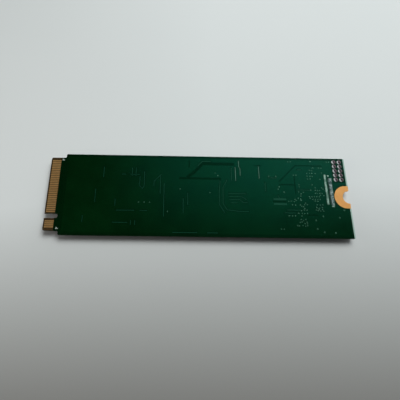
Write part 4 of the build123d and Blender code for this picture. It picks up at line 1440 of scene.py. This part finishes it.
@dataclass
class SolderJoints:
    """Lands with solder that climbs the outer face of each terminal in a hollow curve."""

    toe: float = 0.24  # land past the terminal's outer face
    side: float = 0.06  # land past its other edges
    land_top: float = 1.168
    climb_share: float = 0.62
    climb_limit: float = 0.34
    profile: tuple[Point, ...] = (  # shares of the climb, and of the width that is left there
        (0.0, 0.80), (0.16, 0.46), (0.45, 0.18), (1.0, 0.03))

    @staticmethod
    def turn_of(terminal: Span, bodies: Sequence[Span]) -> float | None:
        """Which way a terminal's outer face looks, away from the nearest body.

        Args:
            terminal: the terminal's box.
            bodies: the boxes of the bodies that it may belong to.

        Returns:
            The turn in degrees, or None for a paddle right under its body.
        """
        nearest = min(bodies, key=lambda body: (body.middle - terminal.middle).length)
        way = (terminal.middle - nearest.middle).to_2d()
        if way.length < 0.1:
            return None
        return round(math.degrees(math.atan2(way.y, way.x)) / 90.0) * 90.0

    def master(self, length: float, width: float, height: float) -> Piece:
        """One joint, for a terminal centred on the origin whose outer face looks along +x.

        Args:
            length: the terminal's length along x.
            width: its width.
            height: how far it stands off the card.

        Returns:
            The joint.
        """

        def outline(share: float) -> tuple[float, float, float, float]:
            """The joint's outline when a share of its spread is left."""
            side = self.side * share
            return -length / 2 - side, length / 2 + self.toe * share, -width / 2 - side, width / 2 + side

        x0, x1, y0, y1 = old = outline(1.0)
        joint = Workshop.block("solder_joint", (x0, y0, self.land_top), (x1, y1, CHIP_FACE + SEAT))
        climb = min(self.climb_share * height, self.climb_limit)
        level = 0.0
        with Workshop.edit(joint, -1.0):
            for rise, share in self.profile:
                new = outline(share)
                Workshop.fit_face(-max(rise * climb - level, 0.002), old, new)
                old, level = new, rise * climb
        return Workshop.smooth(joint, 65.0)

    def places(self, terminals: Sequence[Span], bodies: Sequence[Span],
               foot: float) -> dict[Place, list[Place]]:
        """Sorts terminals by size, with the place and turn of each one's joint.

        Args:
            terminals: the boxes of the terminals.
            bodies: the boxes of their bodies.
            foot: the length of a bent lead's foot, or 0 where the joint is as long as the terminal.

        Returns:
            Places and turns for each length, width and height.
        """
        sorted_out: dict[Place, list[Place]] = {}
        for terminal in terminals:
            turn = self.turn_of(terminal, bodies)
            if turn is None:
                continue
            size = terminal.size
            length, width = (size.x, size.y) if turn % 180 == 0 else (size.y, size.x)
            way = Vector((math.cos(math.radians(turn)), math.sin(math.radians(turn))))
            place = terminal.middle.to_2d() + way * ((length - foot) / 2 if foot else 0.0)
            key = (round(foot or length, 2), round(width, 2), round(size.z, 2))
            sorted_out.setdefault(key, []).append((place.x, place.y, turn))
        return sorted_out

    def build(self, name: str, contacts: str, bodies: str, foot: float = 0.0) -> None:
        """Solders down every terminal of one node.

        Args:
            name: the joints' name.
            contacts: the terminals' node.
            bodies: the node of their bodies.
            foot: the length of a bent lead's foot, or 0.
        """
        sizes = self.places(CadNodes.solids(contacts), CadNodes.solids(bodies), foot)
        joints = [Workshop.repeat(name, self.master(*size), places) for size, places in sizes.items()]
        Workshop.hand_over(Workshop.join(name, joints), SOLDER)


@dataclass
class SolderBalls:
    """Round balls, flattened where they wet the card and the package."""

    radius: float = 0.21
    segments: int = 10
    rings: int = 6

    def master(self, low: float) -> Piece:
        """One ball between the package's underside and the card.

        Args:
            low: the level of the package's underside.

        Returns:
            The ball.
        """
        Workshop.clear()
        bpy.ops.mesh.primitive_uv_sphere_add(
            segments=self.segments, ring_count=self.rings, radius=self.radius,
            location=(0.0, 0.0, (low + CHIP_FACE) / 2))
        ball = Workshop.settle("ball")
        with Workshop.edit(ball):
            for level, way in ((CHIP_FACE, 1.0), (low, -1.0)):
                bpy.ops.mesh.select_all(action="SELECT")
                bpy.ops.mesh.bisect(plane_co=(0.0, 0.0, level), plane_no=(0.0, 0.0, way),
                                    use_fill=True, clear_outer=True)
        return Workshop.smooth(ball, 60.0)

    def build(self, node: str) -> None:
        """Puts a ball at each post of a node.

        Args:
            node: the node of the posts, which the balls stand for.
        """
        posts = CadNodes.solids(node)
        places = [post.middle.to_2d() for post in posts]
        grid = Workshop.repeat(node + "_round", self.master(posts[0].low.z), places)
        Workshop.hand_over(grid, SOLDER, [node])


@dataclass
class ChipSide(CopperFace):
    """The face that carries the parts: copper, print, joints and the parts themselves."""

    laminate: float = CHIP_FACE
    rise: float = -1.0
    pour_level: float = 1.178
    pour_inset: float = 0.45
    trace_width: float = 0.12
    gap_width: float = 0.36
    via_radius: float = 0.15
    via_level: float = 1.178
    via_crown: float = 0.004
    via_sides: int = 12
    cut_levels: Point = (1.0, 1.4)
    outline_levels: Point = (1.0, 1.4)
    window_levels: Point = (1.0, 1.3)
    window: float = 0.30  # clearance between copper and a soldered part
    package_window: float = 0.40  # the same beside a larger part
    grid_window: float = 0.45  # how far inside a grid package's edge its own window starts
    cap_reach: float = 1.3  # a small part's end caps lie within this of its middle
    pair_gap: float = 0.26
    pair_overlap: float = 0.5  # how far a pair runs in under each package
    jog: float = 0.16
    jog_offset: float = 0.3  # how far before the middle of its lane a pair has its jog
    lead_start: float = 0.05  # how far a contact's lead starts inside the contact
    lead_ends: Point = (3.62, 4.04)  # where the leads end, by turns
    sight_dots: tuple[Point, ...] = ((77.0, -9.2), (5.0, 9.6))  # for the machine that places the parts
    dot_radius: float = 0.25
    print_level: float = 1.168
    print_width: float = 0.10
    outline_gap: Point = (0.42, 0.2)  # round a part with leads, and round one on balls
    pin_dot: Place = (0.22, 0.25, 0.16)  # how far out and in from an outline's corner, and its radius
    bar_gap: float = 0.20  # between a small part and the middle of its printed bar
    bar_half: float = 0.22  # half of the bar's length
    band_inset: Point = (0.55, 0.12)  # from the end and the sides of the bulk capacitor's case
    band_width: float = 0.5
    band_levels: Point = (-0.005, 0.01)  # from the case's own face
    lid_rim: Point = (0.14, 0.03)  # width and step of the crystal lid's rim
    leads_joint: Point = (0.16, 0.04)  # toe and side of the joints under leads
    lead_rounding: float = 0.014

    def windows(self) -> list[Piece]:
        """Cutters that keep the pour clear of every part.

        Returns:
            The cutters.
        """
        outlines = []
        for part in SMALL_PARTS:
            caps = CadNodes.solids(part.caps)
            for body in CadNodes.solids(part.bodies):
                own = [cap for cap in caps if (cap.middle - body.middle).length < self.cap_reach]
                around = Span.of(corner for cap in own for corner in (cap.low, cap.high))
                outlines.append(around.outline(self.window))
        for package in PACKAGES:
            grow = -self.grid_window if package.balls else self.package_window
            outlines += [span.outline(grow) for span in package.feet()]
        low, high = self.window_levels
        return [Workshop.block("window", (x0, y0, low), (x1, y1, high)) for x0, x1, y0, y1 in outlines]

    def pour(self) -> None:
        """The broad copper under the mask."""
        plate = self.plate("chip_side_pour")
        cutters = self.windows() + self.outline_cutters()
        cutters += Workshop.ribbons("gap", self.lines(), self.gap_width, *self.cut_levels)
        cutters += [Workshop.disc("dot_window", place, 2 * self.dot_radius, *self.cut_levels)
                    for place in self.sight_dots]
        Workshop.hand_over(Workshop.cut(plate, cutters), POUR)

    def lanes(self) -> list[Point]:
        """Where the free lanes between neighbouring grid packages start and end."""
        spans = sorted((CadNodes.span(p.body) for p in PACKAGES if p.balls), key=lambda span: span.low.x)
        return [(left.high.x, right.low.x) for left, right in zip(spans, spans[1:])]

    def lane_levels(self) -> list[float]:
        """The places across the card midway between the small parts of the first lane.

        Returns:
            The places.
        """
        start, end = self.lanes()[0]
        parts = CadNodes.solids("small_capacitor_bodies") + CadNodes.solids("chip_resistor_bodies")
        inside = sorted(span.middle.y for span in parts if start < span.middle.x < end)
        return [(a + b) / 2 for a, b in zip(inside, inside[1:])]

    def lines(self) -> list[Line]:
        """Every trace: pairs across the lanes, with a jog in each, then a lead for each contact.

        Returns:
            The traces' corners. Only the leads have two.
        """
        lines = []
        for number, (start, end) in enumerate(self.lanes()):
            bend = (start + end) / 2 - self.jog_offset
            step = self.jog if number % 2 else -self.jog
            for y in self.lane_levels()[number % 2::2]:
                for offset in (-self.pair_gap / 2, self.pair_gap / 2):
                    low, high = y + offset - step / 2, y + offset + step / 2
                    lines.append([(start - self.pair_overlap, low), (bend, low),
                                  (bend + self.jog, high), (end + self.pair_overlap, high)])
        for number, finger in enumerate(CadNodes.solids("chip_side_fingers")):
            y = finger.middle.y
            lines.append([(finger.high.x - self.lead_start, y), (self.lead_ends[number % 2], y)])
        return lines

    def wiring(self) -> None:
        """The traces, with a via at the end of each contact's lead."""
        lines = self.lines()
        strips = Workshop.ribbons("trace", lines, self.trace_width, self.seat, self.level(-0.002))
        Workshop.hand_over(Workshop.join("chip_side_traces", strips), TRACE)
        ends = [line[-1] for line in lines if len(line) == 2]
        Workshop.hand_over(Workshop.repeat("chip_side_vias", self.via(self.via_radius), ends), VIA)

    def bare_dots(self) -> None:
        """The bare copper dots, each in the middle of its round window."""
        dots = [Workshop.disc("dot", place, self.dot_radius, self.pour_level, self.seat)
                for place in self.sight_dots]
        dots = Workshop.soften(Workshop.join("chip_side_sight_dots", dots), 0.008, 1)
        Workshop.hand_over(Workshop.smooth(dots, 30.0), COPPER)

    def package_print(self) -> None:
        """An outline round each package that has a mark, and a dot at its pin one."""
        low, high = self.print_level, CHIP_FACE
        right, down, radius = self.pin_dot
        outlines, dots = [], []
        for package in PACKAGES:
            if package.dimple:
                x0, x1, y0, y1 = CadNodes.span(package.body).outline(self.outline_gap[package.balls])
                outlines.append(Workshop.ribbon("outline", [(x0, y0), (x1, y0), (x1, y1), (x0, y1)],
                                                self.print_width, low, high, closed=True))
                dot = Workshop.disc("dot", (x0 - right, y1 - down), radius, low, high, 16)
                dots.append(Workshop.soften(dot, 0.01, 1))
        Workshop.hand_over(Workshop.join("chip_side_outlines", outlines), INK)
        Workshop.hand_over(Workshop.join("chip_side_pin_one_dots", dots), INK)

    def polarity_band(self) -> None:
        """The printed band on the bulk capacitor's case."""
        case = CadNodes.span("bulk_capacitor_case")
        x, inset = case.low.x + self.band_inset[0], self.band_inset[1]
        line = [(x, case.low.y + inset), (x, case.high.y - inset)]
        levels = (case.low.z + offset for offset in self.band_levels)
        band = Workshop.ribbon("bulk_capacitor_band", line, self.band_width, *levels)
        Workshop.hand_over(Workshop.soften(band, 0.04), INK)

    def small_part_print(self) -> None:
        """Two short bars beside each small part, across its ends' line."""
        for part in SMALL_PARTS:
            name = part.stem + "_print"
            caps = CadNodes.solids(part.caps)
            bodies = CadNodes.solids(part.bodies)
            reach = min(bodies[0].size.x, bodies[0].size.y) / 2 + self.bar_gap
            lines = [[(-self.bar_half, y), (self.bar_half, y)] for y in (-reach, reach)]
            bars = Workshop.ribbons("bar", lines, self.print_width, self.print_level, CHIP_FACE)
            master = Workshop.join("bars", [Workshop.soften(bar, 0.02, 1) for bar in bars])
            places = [(*body.middle.to_2d(), SolderJoints.turn_of(body, caps) or 0.0) for body in bodies]
            Workshop.hand_over(Workshop.repeat(name, master, places), INK)

    def small_parts(self) -> None:
        """Each kind's bodies and end caps, with rounded edges."""
        for part in SMALL_PARTS:
            bodies = CadNodes.rounded(part.bodies, part.body_rounding)
            Workshop.hand_over(bodies, part.finish, [part.bodies])
            caps = Workshop.smooth(CadNodes.rounded(part.caps, part.cap_rounding), 50.0)
            Workshop.hand_over(caps, TERMINAL, [part.caps])
            SolderJoints().build(part.stem + "_joints", part.caps, part.bodies)

    def package(self, package: Package) -> None:
        """One larger part with its marks and contacts.

        Args:
            package: which part.
        """
        span = CadNodes.span(package.body)
        body = CadNodes.rounded(package.body, package.rounding)
        if package.dimple:
            place = (span.low.x + package.dimple_inset, span.high.y - package.dimple_inset)
            mark = Workshop.disc("dimple", place, package.dimple, span.low.z - 0.2, span.low.z + 0.025, 28)
            Workshop.cut(body, [mark])
        Workshop.hand_over(Workshop.smooth(body, 35.0), package.finish, [package.body])
        if package.balls:
            SolderBalls().build(package.contacts)
            return
        leads = CadNodes.rounded(package.contacts, self.lead_rounding, 1)
        Workshop.hand_over(leads, TERMINAL, [package.contacts])
        joints = SolderJoints(*self.leads_joint)
        joints.build(package.contacts + "_joints", package.contacts, package.body, package.foot)

    def crystal(self) -> None:
        """The clock crystal: a ceramic tray, and a lid whose seam-welded rim lies a step lower."""
        Workshop.hand_over(CadNodes.rounded("crystal_base", 0.03), CRYSTAL_TRAY, ["crystal_base"])
        lid = CadNodes.rounded("crystal_lid", 0.03)
        with Workshop.edit(lid, self.rise):
            Workshop.move_middle(*self.lid_rim)
        Workshop.hand_over(Workshop.smooth(lid, 35.0), LID, ["crystal_lid"])

    def build(self) -> None:
        """Builds the whole face."""
        self.pour()
        self.wiring()
        self.bare_dots()
        self.package_print()
        self.polarity_band()
        self.small_part_print()
        self.small_parts()
        for package in PACKAGES:
            self.package(package)
        self.crystal()


# The stage


@dataclass(frozen=True)
class Lamp:
    """A soft area lamp that faces the drive. Places and sizes are the frame's, in millimetres."""

    name: str
    place: Place
    size: Point
    power: float  # in watts
    colour: Colour
    glossy: bool = False  # whether polished surfaces mirror it

    def hang(self) -> None:
        """Adds the lamp to the scene."""
        data = bpy.data.lights.new(self.name, "AREA")
        data.shape = "RECTANGLE"
        data.size, data.size_y = (side * MM for side in self.size)
        data.energy = self.power
        data.color = self.colour
        lamp = bpy.data.objects.new(self.name, data)
        bpy.context.scene.collection.objects.link(lamp)
        lamp.location = Vector(self.place) * MM
        lamp.rotation_euler = (-Vector(self.place)).to_track_quat("-Z", "Y").to_euler()
        lamp.visible_glossy = self.glossy
        lamp.visible_camera = False


@dataclass
class Studio:
    """The pale bench, the soft lamps and the camera."""

    eye: Place = (-7.362, -24.444, 86.497)
    axes: tuple[Place, ...] = (  # the camera's right, up and back
        (0.999697, 0.009539, 0.022676), (-0.016283, 0.947529, 0.319257), (-0.018441, -0.31953, 0.947396))
    lens: float = 30.0
    sensor: float = 36.0
    shift: Point = (0.055, -0.05)
    clip: Point = (0.005, 10.0)
    floor_half: float = 900.0
    floor_drop: float = 0.03  # keeps the bench clear of the chips' own faces
    bright_right: Point = (-0.18, 0.36)  # the room brightens between these slopes toward +X
    bright_back: Point = (0.17, 0.35)  # and between these toward +Y
    window_light: float = 1.16
    room_light: float = 0.035
    light_from_below: float = 0.75  # reaches the chip side only, through the bench's open back
    light_tone: Colour = (0.92, 0.98, 1.0)
    background: Colour = (0.64, 0.67, 0.665)
    lamps: tuple[Lamp, ...] = (
        Lamp("window", (130.0, 285.0, 430.0), (440.0, 280.0), 2.85, (0.975, 1.0, 0.995)),
        Lamp("fill", (-130.0, -16.0, 56.0), (70.0, 70.0), 0.036, (1.0, 0.95, 0.92)),
        Lamp("under", (-90.0, -140.0, -230.0), (150.0, 150.0), 0.22, (1.0, 0.99, 0.97), glossy=True),
    )

    def bench(self) -> None:
        """A wide flat sheet that the drive lies on."""
        Workshop.clear()
        bpy.ops.mesh.primitive_grid_add(x_subdivisions=4, y_subdivisions=4, size=2 * self.floor_half)
        sheet = Workshop.settle("bench_top")
        sheet.data.transform(Matrix.Scale(MM, 4) @ Matrix.Translation((0.0, 0.0, -self.floor_drop)))
        sheet.data.materials.append(BENCH.material())

    def world(self) -> None:
        """Slightly cool light from all round, brighter from the side of the room behind the card."""
        world = bpy.data.worlds.new("room")
        world.use_nodes = True
        world.node_tree.nodes.clear()
        recipe = Recipe(world.node_tree)
        right, back, up = recipe.parts(recipe.add("ShaderNodeTexCoord").outputs["Generated"])
        window = recipe.maths("MULTIPLY", recipe.spread(right, *self.bright_right),
                              recipe.spread(back, *self.bright_back))
        above = recipe.spread(window, 0.0, 1.0, self.room_light, self.window_light)
        below = recipe.maths("MULTIPLY", recipe.maths("LESS_THAN", up, 0.0), self.light_from_below)
        strength = recipe.maths("MAXIMUM", above, below)
        light, backdrop = (
            recipe.add("ShaderNodeBackground", {"Color": (*tone, 1.0), "Strength": amount}).outputs[0]
            for tone, amount in ((self.light_tone, strength), (self.background, 1.0)))
        seen = recipe.add("ShaderNodeLightPath").outputs["Is Camera Ray"]
        mixed = recipe.add("ShaderNodeMixShader", {0: seen, 1: light, 2: backdrop})
        recipe.add("ShaderNodeOutputWorld", {"Surface": mixed.outputs[0]})
        bpy.context.scene.world = world

    def camera(self) -> None:
        """The photograph's viewpoint, which looks down on the card from its front left."""
        data = bpy.data.cameras.new("camera")
        data.sensor_width, data.lens = self.sensor, self.lens
        data.shift_x, data.shift_y = self.shift
        data.clip_start, data.clip_end = self.clip
        camera = bpy.data.objects.new("camera", data)
        bpy.context.scene.collection.objects.link(camera)
        turn = Matrix(self.axes).transposed().to_4x4()
        camera.matrix_world = Matrix.Translation(Vector(self.eye) * MM) @ turn
        bpy.context.scene.camera = camera

    def build(self) -> None:
        """Sets the whole stage."""
        self.camera()
        self.bench()
        self.world()
        for lamp in self.lamps:
            lamp.hang()
        bpy.context.scene.view_settings.view_transform = "Standard"


def dress(finish: Finish, *nodes: str) -> None:
    """Gives CAD nodes that keep their mesh a better material.

    Args:
        finish: what the nodes are made of.
        nodes: the CAD nodes' names.
    """
    for node in nodes:
        mesh = frame["nodes"][node].data
        mesh.materials.clear()
        mesh.materials.append(finish.material())
        LOG.info("%s: dressed as %s", node, finish.name)


def main() -> None:
    """Builds every sub-assembly in order."""
    logging.basicConfig(level=logging.INFO, format="%(message)s")
    dress(BOARD, "circuit_board")
    dress(GOLD, "bare_side_fingers", "chip_side_fingers")
    plating = Workshop.smooth(CadNodes.rounded("card_end_plating", 0.05, 1), 30.0)
    Workshop.hand_over(plating, COPPER, ["card_end_plating"])
    BareFace().build()
    ServiceHeader().build()
    ChipSide().build()
    Studio().build()


if __name__ == "__main__":
    main()
